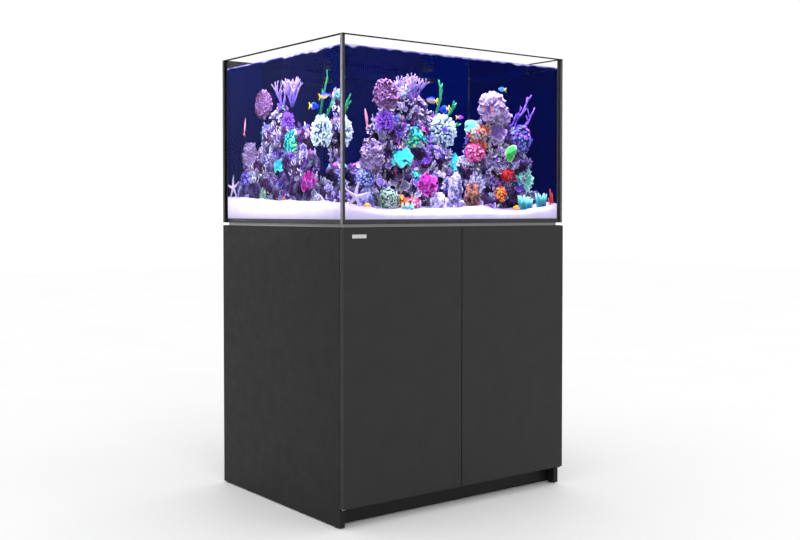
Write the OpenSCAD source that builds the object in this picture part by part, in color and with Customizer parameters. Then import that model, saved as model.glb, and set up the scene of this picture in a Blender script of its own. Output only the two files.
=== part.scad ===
// Rimless reef aquarium on a two-door cabinet stand, with overflow box, plumbing, sump and top-up reservoir.
// Millimetres. +Z up. Origin: centre of the footprint, on the floor. The doors face -Y.

/* [Overall] */
// Outside width of tank and cabinet
total_w = 900; // [900:1:960]
// Outside depth from the door fronts to the rear pane
total_d = 730; // [730:1:760]
// Height from the floor to the rim of the tank
total_h = 1445; // [1440:1:1500]

/* [Cabinet] */
// Height of the cabinet top above the floor
cab_h = 884; // [884:1:890]
// Thickness of the cabinet boards
board_t = 18; // [18:0.5:19]
// Thickness of the doors
door_t = 18; // [18:0.5:18]
// Gap between the door back and the board front edges
door_gap = 2.2; // [2.2:0.1:3]
// Gap between the two doors
door_split = 3; // [2:0.5:5]
// Height of the door bottoms above the floor
door_z0 = 62; // [62:1:66]
// Height of the door tops above the floor
door_z1 = 883; // [882.5:0.1:883]
// Height of the glides under the side panels
glide_h = 4; // [3:1:6]
// Set-back of the plinth behind the door fronts
plinth_back = 58; // [50:1:70]

/* [Tank] */
// Thickness of the glass panes
glass_t = 10; // [10:1:12]
// Thickness of the plate between the cabinet and the tank
plate_t = 9; // [8:1:12]
// Inset of that plate from the tank edges
plate_inset = 15; // [10:1:20]
// Set-back of the front pane behind the door fronts
tank_setback = 4; // [2:1:6]
// Half width of the overflow box
weir_hw = 160; // [160:1:165]
// Distance of the overflow box front from the back of the tank
weir_d = 127; // [125:1:130]

/* [Hinges] */
// Distance of the pivot pins from the door's outer edge
pin_in = 6; // [5:0.1:6.2]
// Radius of the pivot pins
pin_r = 2.5; // [2:0.1:2.5]
// Radial running clearance of the pins in their bushes
pin_play = 0.05; // [0.02:0.01:0.1]

/* [Hidden] */
$fn = 48;

hw = total_w / 2;                 // half width
yf = -total_d / 2;                // door fronts
yr = total_d / 2;                 // rear pane, outside
yp = yf + door_t + door_gap;      // front edges of the boards
zt = cab_h + plate_t;             // underside of the tank
gf = yf + tank_setback;           // front pane, outside
seam = 1;                         // silicone joint between panes
fl = zt + glass_t;                // floor of the tank, inside
base_z = 60;                      // underside of the base panel
in_w = hw - board_t;              // inner face of the side panels
pin_x = hw - pin_in;              // pivot axis
pin_y = yf + door_t / 2;
wy = yr - weir_d;                 // overflow box, front face
pipes = [[-110, 300, 20], [-30, 300, 20], [100, 300, 12.5]];   // x, y and pipe radius of drain, emergency drain and return
latch_x = 60;

// Box from its lowest and highest corners
module bx(a, b) translate(a) cube([b[0] - a[0], b[1] - a[1], b[2] - a[2]]);
// Both mirror images about the middle plane
module lr() { children(); mirror([1, 0, 0]) children(); }
// Upright cylinder from z0 to z1
module up(x, y, z0, z1, r) translate([x, y, z0]) cylinder(r = r, h = z1 - z0);
// Cylinder from point a towards point b
module rod(a, b, r) {
  v = b - a;
  h = norm(v);
  translate(a) rotate([0, acos(v[2] / h), atan2(v[1], v[0])]) cylinder(r = r, h = h);
}
// Pipe along a list of points with a fitting of radius rs at each corner
module run(pts, r, rs) {
  for (i = [0:len(pts) - 2]) rod(pts[i], pts[i + 1], r);
  if (len(pts) > 2) for (i = [1:len(pts) - 2]) translate(pts[i]) sphere(r = rs);
}

// ---------------------------------------------------------------- cabinet
module side_panel() {
  difference() {
    bx([-hw, yp, glide_h], [-in_w, yr, cab_h]);
    bx([-pin_x - 4, yp - 1, cab_h - 2.5], [-pin_x + 4, yp + 48, cab_h + 1]);
    for (y = [yp + 20, yp + 38]) up(-pin_x, y, cab_h - 17, cab_h, 1.55);
    for (y = [yp + 25, yr - 25]) up(-hw + board_t / 2, y, glide_h - 1, glide_h + 20, 2.55);
  }
}
module side_panel_left() color([0.2, 0.2, 0.2]) side_panel();
module side_panel_right() color([0.2, 0.2, 0.2]) mirror([1, 0, 0]) side_panel();
module base_panel() color([0.2, 0.2, 0.2]) difference() {
  bx([-in_w, yp, base_z], [in_w, yr, base_z + board_t]);
  lr() for (y = [yp + 10, yp + 25]) up(-416, y, base_z - 1, base_z + 12, 1.55);
}
module top_panel() color([0.2, 0.2, 0.2]) difference() {
  bx([-in_w, yp, cab_h - board_t], [in_w, yr, cab_h]);
  bx([-150, 258, cab_h - board_t - 1], [150, 342, cab_h + 1]);
}
module rear_panel() color([0.2, 0.2, 0.2]) difference() {
  bx([-in_w, yr - board_t, base_z + board_t], [in_w, yr, cab_h - board_t]);
  bx([-400, yr - 40, 460], [-20, yr + 1, 780]);
  bx([240, yr - 40, 520], [400, yr + 1, 780]);
  translate([110, yr + 1, 700]) rotate([90, 0, 0]) cylinder(r = 34, h = board_t + 2);
}
module partition_panel() color([0.22, 0.22, 0.22])
  bx([205, yp + 6, base_z + board_t], [205 + board_t, yr - board_t, cab_h - board_t]);
module plinth_board() color([0.2, 0.2, 0.2])
  bx([-in_w, yf + plinth_back, glide_h], [in_w, yf + plinth_back + 16, base_z]);
module glides() color([0.05, 0.05, 0.05])
  lr() for (y = [yp + 25, yr - 25]) {
    up(-hw + board_t / 2, y, 0, glide_h, 8);
    up(-hw + board_t / 2, y, glide_h, glide_h + 19, 2.5);
  }
module pivot_brackets_top() color("silver") lr() {
  difference() {
    union() {
      bx([-pin_x - 4, pin_y, cab_h - 2.5], [-pin_x + 4, yp + 48, cab_h]);
      up(-pin_x, pin_y, cab_h - 2.5, cab_h, 4);
    }
    for (y = [yp + 20, yp + 38]) {
      up(-pin_x, y, cab_h - 3, cab_h + 1, 1.55);
      up(-pin_x, y, cab_h - 1.5, cab_h + 1, 3.05);
    }
  }
  up(-pin_x, pin_y, door_z1 - 16, cab_h - 2.5, pin_r);
}
module pivot_brackets_bottom() color("silver") lr() {
  difference() {
    union() {
      up(-pin_x, pin_y, base_z - 2.5, base_z, 4);
      bx([-pin_x - 4, pin_y, base_z - 2.5], [-pin_x + 4, yp - 0.4, base_z]);
      bx([-pin_x + 4, pin_y + 3, base_z - 2.5], [-400, yp - 0.4, base_z]);
      bx([-in_w + 0.4, yp - 0.4, base_z - 2.5], [-400, yp + 34, base_z]);
    }
    for (y = [yp + 10, yp + 25]) up(-416, y, base_z - 3, base_z + 1, 1.55);
  }
  up(-pin_x, pin_y, base_z, base_z + 16, pin_r);
}
module bracket_screws() color("silver") lr() {
  for (y = [yp + 20, yp + 38]) { up(-pin_x, y, cab_h - 1.5, cab_h, 3); up(-pin_x, y, cab_h - 15.5, cab_h - 1.5, 1.5); }
  for (y = [yp + 10, yp + 25]) { up(-416, y, base_z - 4, base_z - 2.5, 3); up(-416, y, base_z - 2.5, base_z + 11.5, 1.5); }
}
module door_bumpers() color([0.8, 0.8, 0.8])
  lr() for (z = [base_z + board_t / 2 + 2, cab_h - board_t / 2])
    translate([-150, yp - door_gap + 0.2, z]) rotate([-90, 0, 0]) cylinder(r = 4, h = door_gap - 0.2);
module latch_housings() color([0.1, 0.1, 0.1]) lr() difference() {
  bx([-latch_x - 11, yp, cab_h - board_t - 20], [-latch_x + 11, yp + 60, cab_h - board_t]);
  translate([-latch_x, yp - 1, cab_h - board_t - 10]) rotate([-90, 0, 0]) cylinder(r = 5.15, h = 51);
}
module cable_grommet() color([0.05, 0.05, 0.05]) translate([110, 0, 700]) rotate([90, 0, 0]) difference() {
  union() {
    translate([0, 0, -yr]) cylinder(r = 34, h = board_t);
    translate([0, 0, -yr + board_t]) cylinder(r = 38, h = 2.5);
  }
  translate([0, 0, -yr - 1]) cylinder(r = 30, h = board_t + 6);
}

// ---------------------------------------------------------------- doors
module door() difference() {
  bx([-hw, yf, door_z0], [-door_split / 2, yf + door_t, door_z1]);
  bx([-hw - 1, yf + 2.7, cab_h - 3], [-pin_x + 4.5, yf + door_t + 1, door_z1 + 1]);
  up(-pin_x, pin_y, door_z0 - 1, door_z0 + 16, 4);
  up(-pin_x, pin_y, door_z1 - 18, door_z1 + 1, 4);
  translate([-latch_x, yf + door_t - 1, cab_h - board_t - 10]) rotate([-90, 0, 0]) cylinder(r = 9, h = 2);
}
module door_left() color([0.2, 0.2, 0.2]) difference() {
  door();
  bx([-419, yf - 1, 852], [-368, yf + 0.8, 863]);
}
module door_badge() color("silver") bx([-419, yf, 852], [-368, yf + 0.8, 863]);
module door_right() color([0.2, 0.2, 0.2]) mirror([1, 0, 0]) door();
module door_bushes() difference() {
  union() {
    up(-pin_x, pin_y, door_z0, door_z0 + 16, 4);
    up(-pin_x, pin_y, door_z0 - 1.8, door_z0, 5.5);
    up(-pin_x, pin_y, door_z1 - 18, cab_h - 3, 4);
  }
  up(-pin_x, pin_y, door_z0 - 3, door_z0 + 15.5, pin_r + pin_play);
  up(-pin_x, pin_y, door_z1 - 17.5, cab_h, pin_r + pin_play);
}
module door_bushes_left() color("white") door_bushes();
module door_bushes_right() color("white") mirror([1, 0, 0]) door_bushes();
module strike_plate_left() color("silver")
  translate([-latch_x, yf + door_t - 1, cab_h - board_t - 10]) rotate([-90, 0, 0]) cylinder(r = 9, h = 1);
module strike_plate_right() color("silver") mirror([1, 0, 0]) strike_plate_left();
module plunger(x) color("white")
  translate([x, yp - door_gap + 0.3, cab_h - board_t - 10]) rotate([-90, 0, 0]) cylinder(r = 5, h = 40);
module latch_plunger_left() plunger(-latch_x);
module latch_plunger_right() plunger(latch_x);

// ---------------------------------------------------------------- tank
module tank_base_plate() color([0.7, 0.7, 0.7]) difference() {
  bx([-hw + plate_inset, gf + plate_inset, cab_h], [hw - plate_inset, yr - plate_inset, zt]);
  bx([-150, 258, cab_h - 1], [150, 342, zt + 1]);
}
module bottom_glass() color([0.3, 0.4, 0.4], 0.5) difference() {
  bx([-hw + glass_t + seam, gf + glass_t + seam, zt], [hw - glass_t - seam, yr - glass_t - seam, fl]);
  for (p = pipes) up(p[0], p[1], zt - 1, fl + 1, p[2] + 4);
}
module front_glass() color([0.5, 0.7, 0.8], 0.4) bx([-hw, gf, zt], [hw, gf + glass_t, total_h]);
module rear_glass() color([0.05, 0.05, 0.05]) bx([-hw, yr - glass_t, zt], [hw, yr, total_h]);
module left_glass() color([0.5, 0.7, 0.8], 0.4)
  bx([-hw, gf + glass_t + seam, zt], [-hw + glass_t, yr - glass_t - seam, total_h]);
module right_glass() color([0.5, 0.7, 0.8], 0.4) mirror([1, 0, 0]) left_glass();
// Silicone: joints between the panes, and the fillet beads inside the corners
module silicone_seams() color([0.05, 0.05, 0.05]) union() {
  lr() {
    bx([-hw, gf + glass_t, zt], [-hw + glass_t, gf + glass_t + seam, total_h]);
    bx([-hw, yr - glass_t - seam, zt], [-hw + glass_t, yr - glass_t, total_h]);
    bx([-hw + glass_t, gf + glass_t, zt], [-hw + glass_t + seam, yr - glass_t, fl]);
    translate([-hw + glass_t, gf + glass_t, fl]) linear_extrude(total_h - fl - 2) polygon([[0, 0], [6, 0], [0, 6]]);
    translate([-hw + glass_t, yr - glass_t, fl]) linear_extrude(total_h - fl - 2) polygon([[0, 0], [6, 0], [0, -6]]);
    translate([-hw + glass_t, yr - glass_t, fl]) rotate([90, 0, 0])
      linear_extrude(yr - gf - 2 * glass_t) polygon([[0, 0], [4, 0], [0, 4]]);
  }
  bx([-hw + glass_t, gf + glass_t, zt], [hw - glass_t, gf + glass_t + seam, fl]);
  bx([-hw + glass_t, yr - glass_t - seam, zt], [hw - glass_t, yr - glass_t, fl]);
  translate([-hw + glass_t, gf + glass_t, fl]) rotate([90, 0, 90])
    linear_extrude(total_w - 2 * glass_t) polygon([[0, 0], [4, 0], [0, 4]]);
  difference() {
    translate([-hw + glass_t, yr - glass_t, fl]) rotate([90, 0, 90])
      linear_extrude(total_w - 2 * glass_t) polygon([[0, 0], [-4, 0], [0, 4]]);
    for (s = [-1, 1]) bx([s * weir_hw - (s > 0 ? 5 : 0), wy, fl - 1], [s * weir_hw + (s > 0 ? 0 : 5), yr, fl + 10]);
  }
}

// ---------------------------------------------------------------- overflow box and plumbing
module overflow_box() color([0.05, 0.07, 0.2]) difference() {
  union() {
    bx([-weir_hw, wy, fl], [weir_hw, wy + 5, total_h - 20]);
    lr() {
      bx([-weir_hw, wy, fl], [-weir_hw + 5, yr - glass_t, total_h - 20]);
      bx([-151, wy - 8, total_h - 72], [-146.4, wy, total_h - 21]);
      bx([-151, wy - 8, total_h - 72], [-141, wy - 5.4, total_h - 21]);
    }
    bx([-151, wy - 5.4, total_h - 72], [151, wy, total_h - 69]);
  }
  bx([-138, wy - 1, total_h - 47], [138, wy + 6, total_h]);
  translate([weir_hw - 6, 300, total_h - 55]) rotate([0, 90, 0]) cylinder(r = 14, h = 8);
}
module weir_comb() color([0.05, 0.1, 0.3]) difference() {
  bx([-146, wy - 5, total_h - 69], [146, wy - 0.4, total_h - 17]);
  for (i = [-17:17]) bx([i * 8 - 2, wy - 6, total_h - 45], [i * 8 + 2, wy, total_h - 20]);
}
module overflow_lid() color([0.05, 0.05, 0.1]) union() {
  bx([-weir_hw - 3, wy + 0.5, total_h - 20], [weir_hw + 3, yr - glass_t - 0.8, total_h - 16]);
  bx([-20, wy + 55, total_h - 16], [20, wy + 61, total_h - 8]);
}
module bulkhead(x, y, r) translate([x, y, 0]) difference() {
  union() {
    up(0, 0, zt - 26, fl, r + 3.8);
    up(0, 0, fl, fl + 7, r + 12);
    up(0, 0, fl + 7, fl + 22, r + 6);
  }
  up(0, 0, zt - 27, zt - 4, r + 0.05);
  up(0, 0, zt - 5, fl + 2, r - 3);
  up(0, 0, fl + 1, fl + 23, r + 0.05);
}
module bulkhead_fittings() color([0.15, 0.15, 0.15]) for (p = pipes) bulkhead(p[0], p[1], p[2]);
module bulkhead_nuts() color([0.15, 0.15, 0.15]) for (p = pipes) difference() {
  translate([p[0], p[1], zt - 12]) cylinder(r = p[2] + 13, h = 12, $fn = 6);
  up(p[0], p[1], zt - 13, zt + 1, p[2] + 3.85);
}
module drain_standpipe() color([0.2, 0.2, 0.2]) difference() {
  up(pipes[0][0], pipes[0][1], fl + 1, total_h - 90, 20);
  up(pipes[0][0], pipes[0][1], fl, total_h - 89, 17);
}
module emergency_standpipe() color([0.2, 0.2, 0.2]) difference() {
  up(pipes[1][0], pipes[1][1], fl + 1, total_h - 55, 20);
  up(pipes[1][0], pipes[1][1], fl, total_h - 54, 17);
}
// Return riser with the elbow that leaves through the side of the overflow box
rz = total_h - 55;
module return_standpipe() color([0.2, 0.2, 0.2]) difference() {
  union() {
    rod([100, 300, fl + 1], [100, 300, rz], 12.5);
    translate([100, 300, rz]) sphere(r = 16);
    rod([100, 300, rz], [weir_hw + 8, 300, rz], 12.5);
    rod([weir_hw, 300, rz], [weir_hw + 4, 300, rz], 17);
  }
  rod([100, 300, fl], [100, 300, rz], 10);
  translate([100, 300, rz]) sphere(r = 11);
  rod([100, 300, rz], [weir_hw + 9, 300, rz], 10);
}
module return_nozzle() color([0.1, 0.1, 0.1]) difference() {
  union() {
    rod([weir_hw + 4.4, 300, rz], [weir_hw + 14, 300, rz], 18);
    translate([weir_hw + 24, 300, rz]) sphere(r = 16);
    rod([weir_hw + 12, 300, rz], [weir_hw + 24, 300, rz], 12);
    rod([weir_hw + 24, 300, rz], [weir_hw + 24, 240, rz], 11);
    bx([weir_hw + 4.6, 222, rz - 7], [weir_hw + 43.4, 246, rz + 7]);
  }
  rod([weir_hw + 3, 300, rz], [weir_hw + 8.4, 300, rz], 12.55);
  rod([weir_hw + 8, 300, rz], [weir_hw + 24, 300, rz], 8);
  translate([weir_hw + 24, 300, rz]) sphere(r = 9);
  rod([weir_hw + 24, 300, rz], [weir_hw + 24, 235, rz], 8);
  bx([weir_hw + 7, 221, rz - 4], [weir_hw + 41, 238, rz + 4]);
}
drain_pts = [[-110, 300, zt - 5], [-110, 300, 650], [-110, 130, 650], [-280, 130, 650], [-280, 130, 372]];
emerg_pts = [[-30, 300, zt - 5], [-30, 300, 590], [-30, 130, 590], [-220, 130, 590], [-220, 130, 372]];
vz = 760;                          // height of the gate valve
module drain_pipe() color([0.2, 0.2, 0.2]) difference() {
  run(drain_pts, 20, 24);
  difference() {
    run(drain_pts, 17, 18);
    bx([-140, 270, vz - 20], [-80, 330, vz + 20]);
  }
  up(-110, 300, zt - 20, zt, 17);
  up(-280, 130, 360, 400, 17);
}
module gate_valve_body() color([0.5, 0.1, 0.1]) difference() {
  union() {
    up(-110, 300, vz - 34, vz + 34, 27);
    rod([-110, 300, vz], [-110, 252, vz], 16);
    rod([-110, 252, vz], [-110, 238, vz], 8);
  }
  up(-110, 300, vz - 35, vz + 35, 20.05);
}
module gate_valve_wheel() color([0.7, 0.1, 0.1]) translate([-110, 236, vz]) rotate([90, 0, 0]) {
  difference() {
    union() {
      difference() { cylinder(r = 30, h = 12); translate([0, 0, -1]) cylinder(r = 24, h = 14); }
      cylinder(r = 9, h = 12);
      for (a = [0:90:270]) rotate(a) translate([7, -2.5, 3]) cube([19, 5, 6]);
    }
    translate([0, 0, -1]) cylinder(r = 3, h = 9);
  }
}
module emergency_pipe() color([0.2, 0.2, 0.2]) difference() {
  run(emerg_pts, 20, 24);
  run(emerg_pts, 17, 18);
  up(-30, 300, zt - 20, zt, 17);
  up(-220, 130, 360, 400, 17);
}
// Flexible return hose: up from the pump, back over the sump and up to the bulkhead, in bends of four diameters
module return_hose() color([0.1, 0.1, 0.1]) union() {
  up(100, 20, 186, 520, 12.5);
  translate([100, 120, 520]) rotate([90, 0, 90]) rotate([0, 0, 90]) rotate_extrude(angle = 90) translate([100, 0]) circle(r = 12.5);
  rod([100, 120, 620], [100, 200, 620], 12.5);
  translate([100, 200, 720]) rotate([90, 0, 90]) rotate([0, 0, -90]) rotate_extrude(angle = 90) translate([100, 0]) circle(r = 12.5);
  up(100, 300, 720, zt - 5, 12.5);
}

// ---------------------------------------------------------------- sump and its equipment
s0 = [-400, -250, 78];
s1 = [180, 232, 438];
module sump_tank() color([0.6, 0.8, 0.9], 0.4) difference() {
  union() {
    difference() {
      bx(s0, s1);
      bx(s0 + [6, 6, 8], s1 + [-6, -6, 1]);
    }
    bx([-395, -245, 398], [-178, 228, 404]);
  }
  up(-290, -120, 390, 410, 53);
  up(-280, 130, 390, 410, 21);
  up(-220, 130, 390, 410, 21);
}
module sump_baffles() color([0.6, 0.8, 0.9], 0.4) {
  bx([-183, -244, 86], [-178, 226, 398]);
  bx([-8, -244, 110], [-3, 226, 360]);
  bx([20, -244, 86], [25, 226, 320]);
}
module filter_sock() color("white") difference() {
  union() {
    up(-290, -120, 404, 412, 60);
    up(-290, -120, 190, 404, 52);
  }
  up(-290, -120, 194, 413, 49);
}
module skimmer_body() color([0.3, 0.3, 0.35], 0.6) difference() {
  union() {
    up(-92, -100, 90, 104, 78);
    up(-92, -100, 104, 330, 62);
    translate([-92, -100, 330]) cylinder(r1 = 62, r2 = 42, h = 45);
    up(-92, -100, 375, 415, 42);
    bx([-132, -22, 86], [-52, 58, 150]);
    bx([-104, -44, 104], [-80, -20, 130]);
  }
  up(-92, -100, 110, 331, 58);
  translate([-92, -100, 330]) cylinder(r1 = 58, r2 = 38, h = 45);
  up(-92, -100, 374, 416, 38);
}
module skimmer_cup() color([0.6, 0.6, 0.65], 0.5) difference() {
  union() {
    up(-92, -100, 419, 530, 66);
    up(-92, -100, 398, 419, 46);
  }
  up(-92, -100, 423, 531, 62);
  up(-92, -100, 397, 417, 42.5);
}
module return_pump() color([0.08, 0.08, 0.08]) difference() {
  union() {
    bx([62, -70, 86], [138, 60, 96]);
    rod([100, -68, 132], [100, 50, 132], 36);
    rod([100, -86, 132], [100, -68, 132], 24);
    up(100, 20, 132, 186, 17);
  }
  up(100, 20, 170, 187, 9);
  rod([100, -87, 132], [100, -70, 132], 18);
}
r0 = [240, -250, 78];
r1 = [424, 220, 470];
module topup_reservoir() color([0.85, 0.85, 0.9], 0.6) difference() {
  bx(r0, r1);
  bx(r0 + [4, 4, 4], r1 + [-4, -4, 1]);
}
module reservoir_lid() color([0.2, 0.2, 0.2]) {
  bx([r0[0], r0[1], r1[2]], [r1[0], r1[1], r1[2] + 5]);
  bx([r0[0] + 4.6, r0[1] + 4.6, r1[2] - 6], [r1[0] - 4.6, r1[1] - 4.6, r1[2]]);
  up((r0[0] + r1[0]) / 2, -150, r1[2] + 5, r1[2] + 22, 24);
}

// ---------------------------------------------------------------- sand, rock and corals
// Sand profile from front to back: depth and height of the surface
sand_yz = [[-351, 903], [354, 903], [354, 979], [230, 974], [120, 967], [0, 959], [-120, 951], [-240, 943], [-300, 938], [-351, 930]];
module sand_body(extra = 0) translate([-hw + glass_t, 0, 0]) rotate([90, 0, 90])
  linear_extrude(total_w - 2 * glass_t) polygon([for (p = sand_yz) [p[0], p[1] + (p[1] > 904 ? extra : 0)]]);
module sand_bed() color([0.9, 0.9, 0.95]) difference() {
  sand_body();
  silicone_seams();
  bx([-weir_hw - 0.5, wy - 0.5, fl - 1], [weir_hw + 0.5, yr, 1100]);
}
// Boulders: centre and radius
boulders_left = [[-392, 262, 995, 44], [-384, 190, 1000, 50], [-380, 110, 1010, 54], [-378, 30, 1005, 54], [-378, -60, 1000, 52],
  [-384, -150, 985, 48], [-386, 150, 1085, 46], [-376, 60, 1090, 50], [-378, -30, 1080, 50], [-380, -120, 1070, 44],
  [-384, 110, 1165, 42], [-378, 10, 1165, 44], [-380, -80, 1150, 42], [-384, 44, 1230, 36]];
boulders_centre = [[-330, -230, 962, 46], [-322, -225, 1040, 42], [-230, -160, 975, 70], [-130, -160, 990, 84], [-30, -150, 990, 84],
  [46, -130, 980, 60], [-160, -150, 1080, 74], [-60, -120, 1095, 84], [30, -100, 1090, 66], [-170, -140, 1170, 62],
  [-70, -90, 1190, 74], [20, -60, 1200, 50], [-120, -110, 1265, 56], [-30, -70, 1270, 40]];
boulders_right = [[150, -234, 972, 56], [200, -235, 985, 66], [290, -225, 975, 66], [350, -240, 960, 50], [150, -210, 1070, 60],
  [240, -215, 1080, 68], [320, -225, 1065, 54], [170, -200, 1160, 52], [260, -205, 1170, 54], [220, -200, 1230, 40],
  [310, -230, 1150, 42]];
module boulders(list) difference() {
  union() for (b = list) translate([b[0], b[1], b[2]]) sphere(r = b[3]);
  sand_body();
}
module rock_left() color([0.4, 0.35, 0.5]) boulders(boulders_left);
module rock_centre() color([0.4, 0.35, 0.5]) boulders(boulders_centre);
module rock_right() color([0.4, 0.35, 0.5]) boulders(boulders_right);
// Branching coral: a short stem with five fingers
module fingers(p, s) translate(p) {
  cylinder(r = 9 * s, h = 34 * s);
  for (a = [0:72:288]) rotate([0, 0, a]) translate([0, 0, 14 * s]) rotate([0, 42, 0]) cylinder(r = 5 * s, h = 58 * s);
}
module branching_corals() color([0.6, 0.5, 0.9]) difference() {
  union() {
    fingers([-112, -106, 1314], 1);
    fingers([24, -62, 1242], 0.9);
    fingers([312, -230, 1186], 0.9);
    fingers([-384, 44, 1260], 0.9);
    fingers([-380, -80, 1186], 0.8);
  }
  boulders(boulders_centre);
  boulders(boulders_right);
  boulders(boulders_left);
}
// Leather coral: a stalk with a broad cap
module leather(p, r, h) translate(p) {
  cylinder(r = r * 0.4, h = h);
  translate([0, 0, h]) cylinder(r = r, h = 14);
}
module soft_corals() color([0.3, 0.8, 0.8]) difference() {
  union() {
    leather([220, -200, 1264], 60, 26);
    leather([-30, -68, 1304], 32, 20);
    leather([-376, 8, 1204], 34, 20);
  }
  boulders(boulders_centre);
  boulders(boulders_right);
  boulders(boulders_left);
}
module round_corals() color([0.7, 0.9, 0.7]) {
  translate([88, -121, 1190]) sphere(r = 40);
  translate([-236, -267, 974]) sphere(r = 32);
  translate([-370, -190, 1160]) sphere(r = 40);
}

side_panel_left();
side_panel_right();
base_panel();
top_panel();
rear_panel();
partition_panel();
plinth_board();
glides();
pivot_brackets_top();
pivot_brackets_bottom();
bracket_screws();
door_bumpers();
latch_housings();
cable_grommet();
tank_base_plate();
bottom_glass();
front_glass();
rear_glass();
left_glass();
right_glass();
silicone_seams();
overflow_box();
bulkhead_fittings();
bulkhead_nuts();
drain_standpipe();
emergency_standpipe();
return_standpipe();
drain_pipe();
gate_valve_body();
emergency_pipe();
return_hose();
sump_tank();
sump_baffles();
skimmer_body();
return_pump();
topup_reservoir();
sand_bed();
rock_left();
rock_centre();
rock_right();
branching_corals();
soft_corals();
round_corals();
door_left();
door_badge();
door_bushes_left();
strike_plate_left();
door_right();
door_bushes_right();
strike_plate_right();
latch_plunger_left();
latch_plunger_right();
weir_comb();
overflow_lid();
return_nozzle();
gate_valve_wheel();
skimmer_cup();
filter_sock();
reservoir_lid();
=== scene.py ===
import bpy
import math
import random
from math import pi, sin, cos, sqrt, radians, exp
from mathutils import Vector, Matrix, noise


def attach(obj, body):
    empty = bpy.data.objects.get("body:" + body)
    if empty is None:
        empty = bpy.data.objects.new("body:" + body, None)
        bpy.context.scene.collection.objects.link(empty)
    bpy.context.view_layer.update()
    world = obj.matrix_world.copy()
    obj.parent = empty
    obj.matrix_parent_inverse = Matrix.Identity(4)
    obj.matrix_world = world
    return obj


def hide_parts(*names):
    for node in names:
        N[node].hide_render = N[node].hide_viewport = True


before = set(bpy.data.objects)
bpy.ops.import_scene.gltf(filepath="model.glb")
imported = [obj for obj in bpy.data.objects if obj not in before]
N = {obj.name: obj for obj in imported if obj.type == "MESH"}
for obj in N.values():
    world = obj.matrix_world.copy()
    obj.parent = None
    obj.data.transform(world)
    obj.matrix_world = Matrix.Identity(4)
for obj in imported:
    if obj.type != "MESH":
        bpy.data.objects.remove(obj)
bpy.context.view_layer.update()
ROOT = "aquarium"

# ------------------------------------------------------------------ camera
scene = bpy.context.scene
cam_data = bpy.data.cameras.new("camera")
cam = bpy.data.objects.new("camera", cam_data)
scene.collection.objects.link(cam)
cam.location = (-2.1965, -2.9287, 0.9305)
cam.rotation_euler = (radians(88.4222), 0, radians(-37.2855))
cam_data.sensor_width = 36
cam_data.lens = 48.32
cam_data.shift_y = -0.03625
cam_data.clip_end = 60
scene.camera = cam
scene.view_settings.view_transform = "Standard"
scene.view_settings.look = "None"

# ------------------------------------------------------------------ materials
def new_mat(name):
    m = bpy.data.materials.new(name)
    m.use_nodes = True
    nt = m.node_tree
    nt.nodes.clear()
    out = nt.nodes.new("ShaderNodeOutputMaterial")
    return m, nt, out


def node(nt, kind, **kw):
    n = nt.nodes.new(kind)
    for k, v in kw.items():
        if k.startswith("in_"):
            n.inputs[k[3:].replace("_", " ")].default_value = v
        else:
            setattr(n, k, v)
    return n


def link(nt, a, b):
    nt.links.new(a, b)


def coords(nt, scale=(1, 1, 1)):
    g = node(nt, "ShaderNodeTexCoord")
    mp = node(nt, "ShaderNodeMapping")
    mp.inputs["Scale"].default_value = scale
    link(nt, g.outputs["Object"], mp.inputs["Vector"])
    return mp.outputs["Vector"]


def noise_tex(nt, vec, scale, detail=4, rough=0.55):
    t = node(nt, "ShaderNodeTexNoise")
    t.inputs["Scale"].default_value = scale
    t.inputs["Detail"].default_value = detail
    t.inputs["Roughness"].default_value = rough
    link(nt, vec, t.inputs["Vector"])
    return t


def ramp(nt, fac, stops):
    r = node(nt, "ShaderNodeValToRGB")
    e = r.color_ramp.elements
    while len(e) < len(stops):
        e.new(0.5)
    for i, (p, c) in enumerate(stops):
        e[i].position = p
        e[i].color = (c[0], c[1], c[2], 1)
    link(nt, fac, r.inputs["Fac"])
    return r.outputs["Color"]


def maprange(nt, fac, a, b, lo, hi):
    n = node(nt, "ShaderNodeMapRange")
    n.inputs["From Min"].default_value = a
    n.inputs["From Max"].default_value = b
    n.inputs["To Min"].default_value = lo
    n.inputs["To Max"].default_value = hi
    link(nt, fac, n.inputs["Value"])
    return n.outputs["Result"]


def bump(nt, height, strength, dist):
    b = node(nt, "ShaderNodeBump")
    b.inputs["Strength"].default_value = strength
    b.inputs["Distance"].default_value = dist
    link(nt, height, b.inputs["Height"])
    return b.outputs["Normal"]


def solid_mat(name, c0, c1, rough=(0.4, 0.5), metal=0.0, scale=40, bscale=600, bstr=0.1, bdist=0.0004,
              stretch=(1, 1, 1), detail=4, spec=0.5, coat=0.0):
    m, nt, out = new_mat(name)
    vec = coords(nt, stretch)
    p = node(nt, "ShaderNodeBsdfPrincipled")
    n1 = noise_tex(nt, vec, scale, detail)
    link(nt, ramp(nt, n1.outputs["Fac"], [(0.3, c0), (0.7, c1)]), p.inputs["Base Color"])
    n2 = noise_tex(nt, vec, scale * 2.3, 3)
    link(nt, maprange(nt, n2.outputs["Fac"], 0.3, 0.7, rough[0], rough[1]), p.inputs["Roughness"])
    n3 = noise_tex(nt, vec, bscale, 2)
    link(nt, bump(nt, n3.outputs["Fac"], bstr, bdist), p.inputs["Normal"])
    p.inputs["Metallic"].default_value = metal
    p.inputs["Specular IOR Level"].default_value = spec
    p.inputs["Coat Weight"].default_value = coat
    link(nt, p.outputs["BSDF"], out.inputs["Surface"])
    return m


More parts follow.
